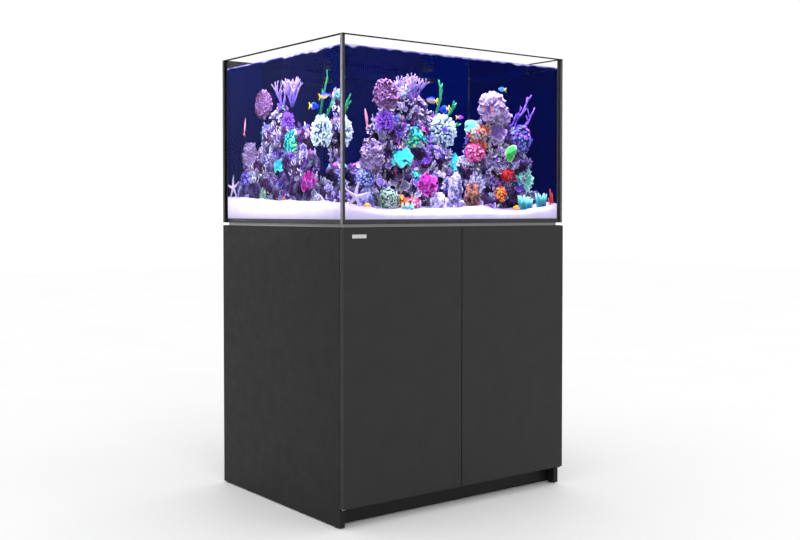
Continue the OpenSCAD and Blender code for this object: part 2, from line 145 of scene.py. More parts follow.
def pane_mat(name, axis, tint=(0.985, 0.99, 0.99), edge0=(0.15, 0.14, 0.155), edge1=(0.22, 0.21, 0.225)):
    """Clear pane that doesn't bend what is behind it, with its cut edges in their own darker shade."""
    m, nt, out = new_mat(name)
    tr = node(nt, "ShaderNodeBsdfTransparent")
    tr.inputs["Color"].default_value = (*tint, 1)
    gl = node(nt, "ShaderNodeBsdfGlossy")
    gl.inputs["Roughness"].default_value = 0.0
    gl.inputs["Color"].default_value = (1, 1, 1, 1)
    lw = node(nt, "ShaderNodeLayerWeight")
    lw.inputs["Blend"].default_value = 0.5
    pw = node(nt, "ShaderNodeMath", operation="POWER")
    link(nt, lw.outputs["Facing"], pw.inputs[0])
    pw.inputs[1].default_value = 6.0
    ma = node(nt, "ShaderNodeMath", operation="MULTIPLY_ADD")
    link(nt, pw.outputs[0], ma.inputs[0])
    ma.inputs[1].default_value = 0.40
    ma.inputs[2].default_value = 0.0002
    mix = node(nt, "ShaderNodeMixShader")
    link(nt, ma.outputs[0], mix.inputs["Fac"])
    link(nt, tr.outputs["BSDF"], mix.inputs[1])
    link(nt, gl.outputs["BSDF"], mix.inputs[2])
    geo = node(nt, "ShaderNodeNewGeometry")
    sep = node(nt, "ShaderNodeSeparateXYZ")
    link(nt, geo.outputs["True Normal"], sep.inputs["Vector"])
    ab = node(nt, "ShaderNodeMath", operation="ABSOLUTE")
    link(nt, sep.outputs[axis], ab.inputs[0])
    lt = node(nt, "ShaderNodeMath", operation="LESS_THAN")
    link(nt, ab.outputs[0], lt.inputs[0])
    lt.inputs[1].default_value = 0.5
    vec = coords(nt)
    n1 = noise_tex(nt, vec, 60, 3)
    p = node(nt, "ShaderNodeBsdfPrincipled")
    link(nt, ramp(nt, n1.outputs["Fac"], [(0.35, edge0), (0.65, edge1)]), p.inputs["Base Color"])
    p.inputs["Roughness"].default_value = 0.18
    mix2 = node(nt, "ShaderNodeMixShader")
    link(nt, lt.outputs[0], mix2.inputs["Fac"])
    link(nt, mix.outputs["Shader"], mix2.inputs[1])
    link(nt, p.outputs["BSDF"], mix2.inputs[2])
    if axis == "Z":
        link(nt, mix2.outputs["Shader"], out.inputs["Surface"])
        return m
    # painted reflection: the polished top rim looks dark from the side, so a dark band is painted along it above z
    # 1.4424
    tc = node(nt, "ShaderNodeTexCoord")
    sp = node(nt, "ShaderNodeSeparateXYZ")
    link(nt, tc.outputs["Object"], sp.inputs["Vector"])
    gz = node(nt, "ShaderNodeMath", operation="GREATER_THAN")
    link(nt, sp.outputs["Z"], gz.inputs[0])
    gz.inputs[1].default_value = 1.4424
    p2 = node(nt, "ShaderNodeBsdfPrincipled")
    link(nt, ramp(nt, n1.outputs["Fac"], [(0.35, (0.010, 0.010, 0.012)), (0.65, (0.018, 0.018, 0.020))]), p2.inputs["Base Color"])
    p2.inputs["Roughness"].default_value = 0.3
    p2.inputs["Specular IOR Level"].default_value = 0.1
    mix3 = node(nt, "ShaderNodeMixShader")
    link(nt, gz.outputs[0], mix3.inputs["Fac"])
    link(nt, mix2.outputs["Shader"], mix3.inputs[1])
    link(nt, p2.outputs["BSDF"], mix3.inputs[2])
    link(nt, mix3.outputs["Shader"], out.inputs["Surface"])
    return m


WATER_Z = 1.415
M = {}
M["board"] = solid_mat("charcoal_board", (0.0150, 0.0145, 0.0145), (0.0180, 0.0175, 0.0175), (0.44, 0.54), 0, 14, 1400, 0.12, 0.0003, spec=0.24)
# painted shade: the side panels use a darker copy of the charcoal board, so they read darker than the doors
M["board_side_painted_shade"] = solid_mat("charcoal_board_side", (0.0094, 0.0092, 0.0092), (0.0116, 0.0113, 0.0113), (0.46, 0.56), 0, 14, 1400, 0.12, 0.0003, spec=0.155)
M["board_in"] = solid_mat("charcoal_board_inner", (0.030, 0.030, 0.031), (0.038, 0.038, 0.039), (0.5, 0.6), 0, 14, 1400, 0.1, 0.0003)
M["plinth"] = solid_mat("plinth_laminate", (0.0108, 0.0108, 0.0108), (0.013, 0.013, 0.013), (0.45, 0.55), 0, 20, 1200, 0.1, 0.0003, spec=0.17)
M["spacer"] = solid_mat("satin_grey_plate", (0.40, 0.39, 0.38), (0.46, 0.45, 0.44), (0.35, 0.45), 0.1, 30, 900, 0.1, 0.0003, stretch=(1, 8, 8))
M["silicone"] = solid_mat("black_silicone", (0.008, 0.008, 0.010), (0.014, 0.013, 0.017), (0.3, 0.42), 0, 40, 260, 0.2, 0.0006)
M["black"] = solid_mat("moulded_black", (0.014, 0.014, 0.015), (0.022, 0.022, 0.024), (0.45, 0.6), 0, 60, 1500, 0.25, 0.0003)
M["pipe"] = solid_mat("grey_pipe", (0.075, 0.077, 0.08), (0.095, 0.097, 0.10), (0.28, 0.4), 0, 30, 500, 0.06, 0.0003)
M["rubber_hose"] = solid_mat("ribbed_hose", (0.016, 0.016, 0.017), (0.026, 0.026, 0.028), (0.4, 0.55), 0, 50, 350, 0.4, 0.0008)
M["steel"] = solid_mat("brushed_steel", (0.48, 0.48, 0.49), (0.60, 0.60, 0.61), (0.22, 0.36), 1.0, 50, 900, 0.12, 0.0002, stretch=(1, 12, 12))
M["dark_steel"] = solid_mat("blackened_steel", (0.018, 0.018, 0.019), (0.028, 0.028, 0.030), (0.42, 0.55), 0.6, 50, 900, 0.12, 0.0002, spec=0.3)
M["badge"] = solid_mat("satin_badge", (0.50, 0.50, 0.51), (0.60, 0.60, 0.61), (0.25, 0.35), 1.0, 60, 1500, 0.08, 0.0001, stretch=(1, 1, 20))
M["nylon"] = solid_mat("white_nylon", (0.62, 0.62, 0.60), (0.70, 0.70, 0.67), (0.35, 0.5), 0, 60, 900, 0.1, 0.0002)
M["valve_red"] = solid_mat("valve_red", (0.38, 0.012, 0.012), (0.46, 0.02, 0.018), (0.2, 0.3), 0, 40, 900, 0.06, 0.0002)
M["blue_acrylic"] = solid_mat("blue_acrylic", (0.002, 0.008, 0.055), (0.004, 0.014, 0.08), (0.3, 0.42), 0, 16, 500, 0.05, 0.0002)
M["felt"] = solid_mat("sock_felt", (0.60, 0.59, 0.55), (0.76, 0.75, 0.71), (0.85, 0.95), 0, 300, 900, 0.8, 0.0012)
M["tub"] = solid_mat("reservoir_plastic", (0.50, 0.52, 0.55), (0.58, 0.60, 0.63), (0.35, 0.48), 0, 20, 600, 0.12, 0.0003)
M["front_pane"] = pane_mat("front_pane", "Y")
M["side_pane"] = pane_mat("side_pane", "X", edge0=(0.03, 0.03, 0.035), edge1=(0.05, 0.05, 0.06))
M["floor_pane"] = pane_mat("floor_pane", "Z", tint=(0.9, 0.95, 0.95), edge0=(0.02, 0.03, 0.03), edge1=(0.03, 0.045, 0.045))


def acrylic_mat(name, tint, haze, amount, rough=0.06):
    m, nt, out = new_mat(name)
    tr = node(nt, "ShaderNodeBsdfTransparent")
    tr.inputs["Color"].default_value = (*tint, 1)
    vec = coords(nt)
    n1 = noise_tex(nt, vec, 25, 3)
    p = node(nt, "ShaderNodeBsdfPrincipled")
    link(nt, ramp(nt, n1.outputs["Fac"], [(0.3, haze), (0.7, tuple(min(1, c * 1.25) for c in haze))]), p.inputs["Base Color"])
    p.inputs["Roughness"].default_value = rough
    fr = node(nt, "ShaderNodeLayerWeight")
    fr.inputs["Blend"].default_value = 0.35
    mr = maprange(nt, fr.outputs["Facing"], 0, 1, amount, 0.8)
    mix = node(nt, "ShaderNodeMixShader")
    link(nt, mr, mix.inputs["Fac"])
    link(nt, tr.outputs["BSDF"], mix.inputs[1])
    link(nt, p.outputs["BSDF"], mix.inputs[2])
    link(nt, mix.outputs["Shader"], out.inputs["Surface"])
    return m


M["acrylic"] = acrylic_mat("clear_acrylic", (0.88, 0.95, 0.96), (0.35, 0.5, 0.52), 0.07)
M["smoke"] = acrylic_mat("smoked_acrylic", (0.45, 0.46, 0.5), (0.05, 0.05, 0.06), 0.18)


def rear_mat():
    """Rear pane: black film outside, and on its inner face below the water line a painted glow (emission, brighter blue
    towards the top) standing in for the deep blue of the lit water column.
    """
    m, nt, out = new_mat("rear_pane")
    geo = node(nt, "ShaderNodeNewGeometry")
    sn = node(nt, "ShaderNodeSeparateXYZ")
    link(nt, geo.outputs["True Normal"], sn.inputs["Vector"])
    inner = node(nt, "ShaderNodeMath", operation="LESS_THAN")
    link(nt, sn.outputs["Y"], inner.inputs[0])
    inner.inputs[1].default_value = -0.5
    tc = node(nt, "ShaderNodeTexCoord")
    sp = node(nt, "ShaderNodeSeparateXYZ")
    link(nt, tc.outputs["Object"], sp.inputs["Vector"])
    below = node(nt, "ShaderNodeMath", operation="LESS_THAN")
    link(nt, sp.outputs["Z"], below.inputs[0])
    below.inputs[1].default_value = WATER_Z
    both = node(nt, "ShaderNodeMath", operation="MULTIPLY")
    link(nt, inner.outputs[0], both.inputs[0])
    link(nt, below.outputs[0], both.inputs[1])
    up = maprange(nt, sp.outputs["Z"], 0.9, 1.42, 0.0, 1.0)
    vec = coords(nt)
    n1 = noise_tex(nt, vec, 3.0, 3)
    add = node(nt, "ShaderNodeMath", operation="MULTIPLY_ADD")
    link(nt, n1.outputs["Fac"], add.inputs[0])
    add.inputs[1].default_value = 0.25
    link(nt, up, add.inputs[2])
    glow = ramp(nt, add.outputs[0], [(0.0, (0.0045, 0.0065, 0.050)), (0.6, (0.0016, 0.0045, 0.068)), (1.0, (0.0012, 0.006, 0.10))])
    p = node(nt, "ShaderNodeBsdfPrincipled")
    n2 = noise_tex(nt, vec, 30, 3)
    link(nt, ramp(nt, n2.outputs["Fac"], [(0.3, (0.004, 0.004, 0.006)), (0.7, (0.008, 0.008, 0.010))]), p.inputs["Base Color"])
    p.inputs["Roughness"].default_value = 0.25
    em = node(nt, "ShaderNodeEmission")
    link(nt, glow, em.inputs["Color"])
    mix = node(nt, "ShaderNodeMixShader")
    link(nt, both.outputs[0], mix.inputs["Fac"])
    link(nt, p.outputs["BSDF"], mix.inputs[1])
    link(nt, em.outputs["Emission"], mix.inputs[2])
    link(nt, mix.outputs["Shader"], out.inputs["Surface"])
    return m


def glow_solid(name, c0, c1, glow, strength, rough=0.4, scale=12):
    m, nt, out = new_mat(name)
    vec = coords(nt)
    n1 = noise_tex(nt, vec, scale, 4)
    p = node(nt, "ShaderNodeBsdfPrincipled")
    link(nt, ramp(nt, n1.outputs["Fac"], [(0.3, c0), (0.7, c1)]), p.inputs["Base Color"])
    link(nt, ramp(nt, n1.outputs["Fac"], [(0.3, glow), (0.7, tuple(g * 1.3 for g in glow))]), p.inputs["Emission Color"])
    p.inputs["Emission Strength"].default_value = strength
    p.inputs["Specular IOR Level"].default_value = 0.1
    n3 = noise_tex(nt, vec, 500, 2)
    link(nt, maprange(nt, n3.outputs["Fac"], 0.3, 0.7, rough - 0.05, rough + 0.05), p.inputs["Roughness"])
    link(nt, p.outputs["BSDF"], out.inputs["Surface"])
    return m


M["rear"] = rear_mat()
# painted glow: the weir and the comb are dark solids with a weak blue emission that stands in for the lit water seen on
# them
M["weir"] = glow_solid("weir_acrylic_painted_glow", (0.001, 0.002, 0.012), (0.0012, 0.003, 0.016), (0.0012, 0.0030, 0.040), 1.0)
M["comb"] = glow_solid("comb_acrylic_painted_glow", (0.0008, 0.0015, 0.010), (0.001, 0.002, 0.014), (0.0018, 0.0035, 0.056), 1.0)


def organic(name, glow=0.3, rough=0.55, bscale=260, bstr=0.35, bdist=0.0012, vor=False, mottled=0.35, mscale=70, sheen=0.0, spec=0.35):
    """Living tissue and stone: vertex colour, mottled by noise, with a fine relief and a weak glow (emission of the
    same colour), partly the fluorescence of corals under blue light and partly painted light that keeps shaded parts
    visible.
    """
    m, nt, out = new_mat(name)
    vec = coords(nt)
    at = node(nt, "ShaderNodeAttribute")
    at.attribute_name = "col"
    n1 = noise_tex(nt, vec, mscale, 5, 0.65)
    f = maprange(nt, n1.outputs["Fac"], 0.34, 0.66, max(0.06, 1 - mottled), 1 + mottled * 0.6)
    vm = node(nt, "ShaderNodeVectorMath", operation="SCALE")
    link(nt, at.outputs["Color"], vm.inputs[0])
    link(nt, f, vm.inputs["Scale"])
    p = node(nt, "ShaderNodeBsdfPrincipled")
    link(nt, vm.outputs["Vector"], p.inputs["Base Color"])
    link(nt, vm.outputs["Vector"], p.inputs["Emission Color"])
    p.inputs["Emission Strength"].default_value = glow
    p.inputs["Specular IOR Level"].default_value = spec
    if vor:
        t = node(nt, "ShaderNodeTexVoronoi")
        t.inputs["Scale"].default_value = bscale
        link(nt, vec, t.inputs["Vector"])
        h = t.outputs["Distance"]
    else:
        h = noise_tex(nt, vec, bscale, 3).outputs["Fac"]
    link(nt, bump(nt, h, bstr, bdist), p.inputs["Normal"])
    link(nt, maprange(nt, n1.outputs["Fac"], 0.3, 0.7, rough - 0.08, rough + 0.1), p.inputs["Roughness"])
    link(nt, p.outputs["BSDF"], out.inputs["Surface"])
    return m


M["stony"] = organic("stony_coral", 0.32, 0.55, 700, 0.5, 0.0010, vor=True, mscale=120)
M["leathery"] = organic("leather_coral", 0.34, 0.6, 520, 0.6, 0.0014, vor=True, mottled=0.25, mscale=90)
M["fleshy"] = organic("fleshy_polyps", 0.36, 0.38, 300, 0.25, 0.0010, mottled=0.3, mscale=90, spec=0.5)
M["rock"] = organic("live_rock", 0.16, 0.8, 150, 1.0, 0.0050, mottled=1.0, mscale=150, spec=0.2)
M["fish"] = organic("fish_scales", 0.30, 0.3, 900, 0.25, 0.0004, vor=True, mottled=0.15, mscale=60, spec=0.6)
M["sand"] = organic("coral_sand", 0.16, 0.85, 900, 0.9, 0.0012, mottled=0.16, mscale=420, spec=0.2)


def water_mat():
    m, nt, out = new_mat("tank_water")
    gl = node(nt, "ShaderNodeBsdfGlass")
    gl.inputs["IOR"].default_value = 1.33
    gl.inputs["Roughness"].default_value = 0.0
    gl.inputs["Color"].default_value = (0.93, 0.965, 1.0, 1)
    vec = coords(nt)
    nz = noise_tex(nt, vec, 26, 3)
    geo = node(nt, "ShaderNodeNewGeometry")
    sn = node(nt, "ShaderNodeSeparateXYZ")
    link(nt, geo.outputs["True Normal"], sn.inputs["Vector"])
    ab = node(nt, "ShaderNodeMath", operation="ABSOLUTE")
    link(nt, sn.outputs["Z"], ab.inputs[0])
    gt = node(nt, "ShaderNodeMath", operation="GREATER_THAN")
    link(nt, ab.outputs[0], gt.inputs[0])
    gt.inputs[1].default_value = 0.5
    hh = node(nt, "ShaderNodeMath", operation="MULTIPLY")
    link(nt, nz.outputs["Fac"], hh.inputs[0])
    link(nt, gt.outputs[0], hh.inputs[1])
    link(nt, bump(nt, hh.outputs[0], 0.35, 0.004), gl.inputs["Normal"])
    tr = node(nt, "ShaderNodeBsdfTransparent")
    tr.inputs["Color"].default_value = (0.93, 0.965, 1.0, 1)
    dim = node(nt, "ShaderNodeBsdfTransparent")
    dim.inputs["Color"].default_value = (0.42, 0.42, 0.60, 1)
    lp = node(nt, "ShaderNodeLightPath")
    rearf = node(nt, "ShaderNodeMath", operation="GREATER_THAN")
    tc = node(nt, "ShaderNodeTexCoord")
    sy = node(nt, "ShaderNodeSeparateXYZ")
    link(nt, tc.outputs["Object"], sy.inputs["Vector"])
    link(nt, sy.outputs["Y"], rearf.inputs[0])
    rearf.inputs[1].default_value = 0.3544
    mx = node(nt, "ShaderNodeMath", operation="MAXIMUM")
    link(nt, lp.outputs["Is Shadow Ray"], mx.inputs[0])
    link(nt, rearf.outputs[0], mx.inputs[1])
    rf = node(nt, "ShaderNodeBsdfRefraction")
    rf.inputs["IOR"].default_value = 1.33
    rf.inputs["Roughness"].default_value = 0.0
    rf.inputs["Color"].default_value = (0.96, 0.98, 1.0, 1)
    use = node(nt, "ShaderNodeMath", operation="MAXIMUM")
    link(nt, geo.outputs["Backfacing"], use.inputs[0])
    link(nt, gt.outputs[0], use.inputs[1])
    body = node(nt, "ShaderNodeMixShader")
    link(nt, use.outputs[0], body.inputs["Fac"])
    link(nt, rf.outputs["BSDF"], body.inputs[1])
    link(nt, gl.outputs["BSDF"], body.inputs[2])
    mix = node(nt, "ShaderNodeMixShader")
    link(nt, mx.outputs[0], mix.inputs["Fac"])
    amb = node(nt, "ShaderNodeMixShader")
    link(nt, lp.outputs["Is Diffuse Ray"], amb.inputs["Fac"])
    link(nt, body.outputs["Shader"], amb.inputs[1])
    link(nt, dim.outputs["BSDF"], amb.inputs[2])
    link(nt, amb.outputs["Shader"], mix.inputs[1])
    link(nt, tr.outputs["BSDF"], mix.inputs[2])
    link(nt, mix.outputs["Shader"], out.inputs["Surface"])
    return m


M["water"] = water_mat()

NODE_MAT = {
    "side_panel_left": "board_side_painted_shade", "side_panel_right": "board_side_painted_shade", "door_left": "board", "door_right": "board",
    "base_panel": "board_in", "top_panel": "board_in", "rear_panel": "board_in", "partition_panel": "board_in",
    "plinth_board": "plinth", "glides": "black", "pivot_brackets_top": "dark_steel", "pivot_brackets_bottom": "dark_steel",
    "bracket_screws": "steel", "door_bumpers": "nylon", "latch_housings": "black", "cable_grommet": "black",
    "tank_base_plate": "spacer", "bottom_glass": "floor_pane", "front_glass": "front_pane", "rear_glass": "rear",
    "left_glass": "side_pane", "right_glass": "side_pane", "silicone_seams": "silicone", "overflow_box": "weir",
    "bulkhead_fittings": "pipe", "bulkhead_nuts": "pipe", "drain_standpipe": "pipe", "emergency_standpipe": "pipe",
    "return_standpipe": "pipe", "drain_pipe": "pipe", "gate_valve_body": "pipe", "emergency_pipe": "pipe",
    "return_hose": "rubber_hose", "sump_tank": "acrylic", "sump_baffles": "acrylic", "skimmer_body": "smoke",
    "return_pump": "black", "topup_reservoir": "tub", "sand_bed": "sand", "rock_left": "rock", "rock_centre": "rock",
    "rock_right": "rock", "branching_corals": "stony", "soft_corals": "leathery", "round_corals": "fleshy",
    "door_badge": "badge", "door_bushes_left": "nylon", "door_bushes_right": "nylon", "strike_plate_left": "steel",
    "strike_plate_right": "steel", "latch_plunger_left": "nylon", "latch_plunger_right": "nylon", "weir_comb": "comb",
    "overflow_lid": "black", "return_nozzle": "black", "gate_valve_wheel": "valve_red", "skimmer_cup": "smoke",
    "filter_sock": "felt", "reservoir_lid": "black",
}
for name, key in NODE_MAT.items():
    ob = N[name]
    ob.data.materials.clear()
    ob.data.materials.append(M[key])


def bevel(name, width, segments=2, angle=40):
    ob = N[name]
    b = ob.modifiers.new("edge", "BEVEL")
    b.width = width
    b.segments = segments
    b.limit_method = "ANGLE"
    b.angle_limit = radians(angle)
    b.harden_normals = False


for name in ("door_left", "door_right"):
    bevel(name, 0.0011, 2)
for name in ("side_panel_left", "side_panel_right", "plinth_board", "tank_base_plate", "base_panel", "top_panel", "partition_panel", "rear_panel"):
    bevel(name, 0.0006, 2)
bevel("reservoir_lid", 0.0015, 2)
bevel("overflow_lid", 0.0006, 2)
bevel("latch_housings", 0.001, 2)


# ------------------------------------------------------------------ mesh builder
class Build:
    def __init__(self, seed=1):
        self.v, self.f, self.c = [], [], []
        self.rnd = random.Random(seed)

    def add(self, verts, faces, cols):
        o = len(self.v)
        self.v += [tuple(p) for p in verts]
        self.f += [tuple(i + o for i in f) for f in faces]
        self.c += cols

    def tube(self, pts, radii, cols, n=7, round_tip=True, flat=(1, 1)):
        pts = [Vector(p) for p in pts]
        if round_tip:
            d = (pts[-1] - pts[-2]).normalized()
            pts.append(pts[-1] + d * radii[-1] * 0.7)
            radii = list(radii) + [radii[-1] * 0.62]
            cols = list(cols) + [cols[-1]]
        t0 = (pts[1] - pts[0]).normalized()
        ref = Vector((0, 0, 1)) if abs(t0.z) < 0.9 else Vector((1, 0, 0))
        u = t0.cross(ref).normalized()
        vs, cs, fs = [], [], []
        for i, p in enumerate(pts):
            t = (pts[min(i + 1, len(pts) - 1)] - pts[max(i - 1, 0)]).normalized()
            u = (u - t * u.dot(t)).normalized()
            w = t.cross(u)
            for k in range(n):
                a = 2 * pi * k / n
                vs.append(p + (u * cos(a) * flat[0] + w * sin(a) * flat[1]) * radii[i])
                cs.append(cols[i])
        for i in range(len(pts) - 1):
            for k in range(n):
                a, b = i * n + k, i * n + (k + 1) % n
                fs.append((a, b, b + n, a + n))
        m = len(vs)
        vs.append(pts[-1] + (pts[-1] - pts[-2]).normalized() * radii[-1] * 0.45)
        cs.append(cols[-1])
        e = (len(pts) - 1) * n
        for k in range(n):
            fs.append((e + k, e + (k + 1) % n, m))
        fs.append(tuple(reversed(range(n))))
        self.add(vs, fs, cs)

    def ball(self, centre, radii, seg=24, rings=16, fn=None, col=None):
        """UV ball. fn(unit vector) gives (radius factor, colour)."""
        c = Vector(centre)
        vs, cs, fs = [], [], []
        dirs = [Vector((0, 0, -1))]
        for j in range(1, rings):
            ph = -pi / 2 + pi * j / rings
            for i in range(seg):
                th = 2 * pi * i / seg
                dirs.append(Vector((cos(ph) * cos(th), cos(ph) * sin(th), sin(ph))))
        dirs.append(Vector((0, 0, 1)))
        for d in dirs:
            k, cc = fn(d) if fn else (1, col)
            vs.append(c + Vector((d.x * radii[0], d.y * radii[1], d.z * radii[2])) * k)
            cs.append(cc)
        for i in range(seg):
            fs.append((0, 1 + (i + 1) % seg, 1 + i))
        for j in range(rings - 2):
            for i in range(seg):
                a, b = 1 + j * seg + i, 1 + j * seg + (i + 1) % seg
                fs.append((a, b, b + seg, a + seg))
        top = len(dirs) - 1
        e = 1 + (rings - 2) * seg
        for i in range(seg):
            fs.append((e + i, e + (i + 1) % seg, top))
        self.add(vs, fs, cs)

    def cap(self, centre, r, up, waves, amp, thick, c_mid, c_rim, rings=9, seg=72, dome=0.15, seed=0.0, rim_w=0.12, oval=1.0):
        """Ruffled cap, like a leather coral or a plate: closed, with a rounded rim."""
        c = Vector(centre)
        up = Vector(up).normalized()
        x = up.cross(Vector((0.31, 0.95, 0.02))).normalized()
        y = up.cross(x)
        vs, cs, fs = [], [], []

        def height(rr, th):
            e = rr ** 2.2
            w = sin(waves * th + seed) + 0.5 * sin((waves * 1.7) // 1 * th + seed * 2.1 + 1)
            nz = noise.noise(Vector((cos(th) * rr * 2 + seed, sin(th) * rr * 2, seed)))
            return r * (dome * (1 - rr * rr)) + amp * e * w * 0.75 + nz * amp * 0.5 * rr

        def colour(rr, th):
            k = min(1, max(0, (rr - (1 - rim_w * 2)) / (rim_w * 2)))
            s = 0.9 + 0.2 * noise.noise(Vector((cos(th) * rr * 5, sin(th) * rr * 5, seed)))
            return tuple((c_mid[i] * (1 - k) + c_rim[i] * k) * s for i in range(3))

        def place(rr, th, h):
            rad = r * rr * (1 + 0.10 * sin((waves - 1) * th + seed * 1.3) * rr)
            return c + x * rad * cos(th) + y * rad * sin(th) * oval + up * h

        for side in (1, -1):
            vs.append(place(0, 0, height(0, 0) + (thick / 2) * side))
            cs.append(colour(0, 0))
            for j in range(1, rings + 1):
                rr = j / rings
                tk = thick / 2 * (sqrt(max(0.0, 1 - rr ** 8)) if side == 1 else (1 if rr < 0.99 else 0.1))
                for i in range(seg):
                    th = 2 * pi * i / seg
                    k = colour(rr, th)
                    # painted shade: the underside of a cap gets half the colour of its top
                    if side < 0:
                        k = tuple(q * 0.5 for q in k)
                    vs.append(place(rr, th, height(rr, th) + tk * side))
                    cs.append(k)
        half = 1 + rings * seg
        for s, o in ((1, 0), (-1, half)):
            for i in range(seg):
                a, b = o + 1 + i, o + 1 + (i + 1) % seg
                fs.append((o, a, b) if s > 0 else (o, b, a))
            for j in range(rings - 1):
                for i in range(seg):
                    a, b = o + 1 + j * seg + i, o + 1 + j * seg + (i + 1) % seg
                    q = (a, a + seg, b + seg, b)
                    fs.append(q if s > 0 else tuple(reversed(q)))
        e = 1 + (rings - 1) * seg
        for i in range(seg):
            a, b = e + i, e + (i + 1) % seg
            fs.append((a, a + half, b + half, b))
        self.add(vs, fs, cs)

    def make(self, name, mat, replaces=None, smooth=True, subsurf=0, body=ROOT):
        me = bpy.data.meshes.new(name)
        me.from_pydata(self.v, [], self.f)
        me.update()
        at = me.color_attributes.new("col", "FLOAT_COLOR", "POINT")
        flat = []
        for c in self.c:
            flat += [deep(c[0]), deep(c[1]), deep(c[2]), 1.0]
        at.data.foreach_set("color", flat)
        if smooth:
            me.polygons.foreach_set("use_smooth", [True] * len(me.polygons))
        me.materials.append(mat)
        ob = bpy.data.objects.new(name, me)
        scene.collection.objects.link(ob)
        if subsurf:
            s = ob.modifiers.new("smooth", "SUBSURF")
            s.levels = s.render_levels = subsurf
        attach(ob, body)
        if replaces:
            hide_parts(*replaces)
        return ob


def deep(v):
    return 0.86 * max(0.0, min(1.0, v)) ** 1.45


def fib(n):
    g = pi * (3 - sqrt(5))
    for i in range(n):
        z = 1 - 2 * (i + 0.5) / n
        r = sqrt(1 - z * z)
        yield Vector((cos(g * i) * r, sin(g * i) * r, z))


def mixc(a, b, t):
    return tuple(a[i] * (1 - t) + b[i] * t for i in range(3))


def scl(a, k):
    return tuple(min(1.0, q * k) for q in a)


def branching(b, base, w, h, r, c0, c1, arms=6, levels=3, tips=1.0):
    """Branching stony coral in the space w wide and h high above base."""
    rnd = b.rnd
    base = Vector(base)

    def grow(p, d, length, rad, level):
        mid = p + d * length * 0.55 + Vector((rnd.uniform(-1, 1), rnd.uniform(-1, 1), 0.3)) * length * 0.08
        d2 = (d + Vector((rnd.uniform(-.3, .3), rnd.uniform(-.3, .3), 0.25))).normalized()
        end = mid + d2 * length * 0.45
        t0 = level / (levels + 1)
        t1 = (level + 1) / (levels + 1)
        b.tube([p, mid, end], [rad, rad * 0.85, rad * 0.7], [mixc(c0, c1, t0), mixc(c0, c1, (t0 + t1) / 2), mixc(c0, c1, t1 if level < levels - 1 else tips)], n=7)
        if level < levels - 1:
            for k in range(3 if level == 0 else 2):
                a = rnd.uniform(0, 2 * pi)
                s = Vector((cos(a), sin(a), 0)) * rnd.uniform(0.6, 1.1)
                grow(end - d2 * rad * 0.4, (d2 + s + Vector((0, 0, 0.25))).normalized(), length * rnd.uniform(0.6, 0.8), rad * 0.72, level + 1)
            grow(mid, (d2 + Vector((rnd.uniform(-.8, .8), rnd.uniform(-.8, .8), 0.3))).normalized(), length * 0.55, rad * 0.65, level + 1)

    for k in range(arms):
        a = 2 * pi * k / arms + rnd.uniform(-.3, .3)
        tilt = rnd.uniform(0.25, 0.85)
        d = Vector((cos(a) * tilt * w / h, sin(a) * tilt * w / h, 1)).normalized()
        grow(base, d, h * 0.42, r, 0)


def bushy(b, c, rad, count, length, thick, c0, c1, ball_tip=False, droop=0.0):
    rnd = b.rnd
    c = Vector(c)
    # painted shade: the core ball among the branches is drawn at half the base colour
    b.ball(c, [q * 0.72 for q in rad], 20, 12, col=scl(c0, 0.5))
    for d in fib(count):
        if d.z < -0.75:
            continue
        j = Vector((rnd.uniform(-.2, .2), rnd.uniform(-.2, .2), rnd.uniform(-.2, .2)))
        d2 = (d + j).normalized()
        p0 = c + Vector((d.x * rad[0], d.y * rad[1], d.z * rad[2])) * 0.6
        k = 0.86 + rnd.uniform(-.1, .14)
        p1 = c + Vector((d2.x * rad[0], d2.y * rad[1], d2.z * rad[2])) * k
        p1.z -= droop * length
        mid = (p0 + p1) / 2 + j * length * 0.3
        s = rnd.uniform(0.75, 1.15)
        if ball_tip:
            b.tube([p0, mid, p1], [thick * 0.7, thick * 0.6, thick * 1.15], [scl(c0, s), scl(mixc(c0, c1, .4), s), scl(c1, s)], n=6)
        else:
            b.tube([p0, mid, p1], [thick, thick * 0.8, thick * 0.55], [scl(c0, s), scl(mixc(c0, c1, .5), s), scl(c1, s)], n=6)


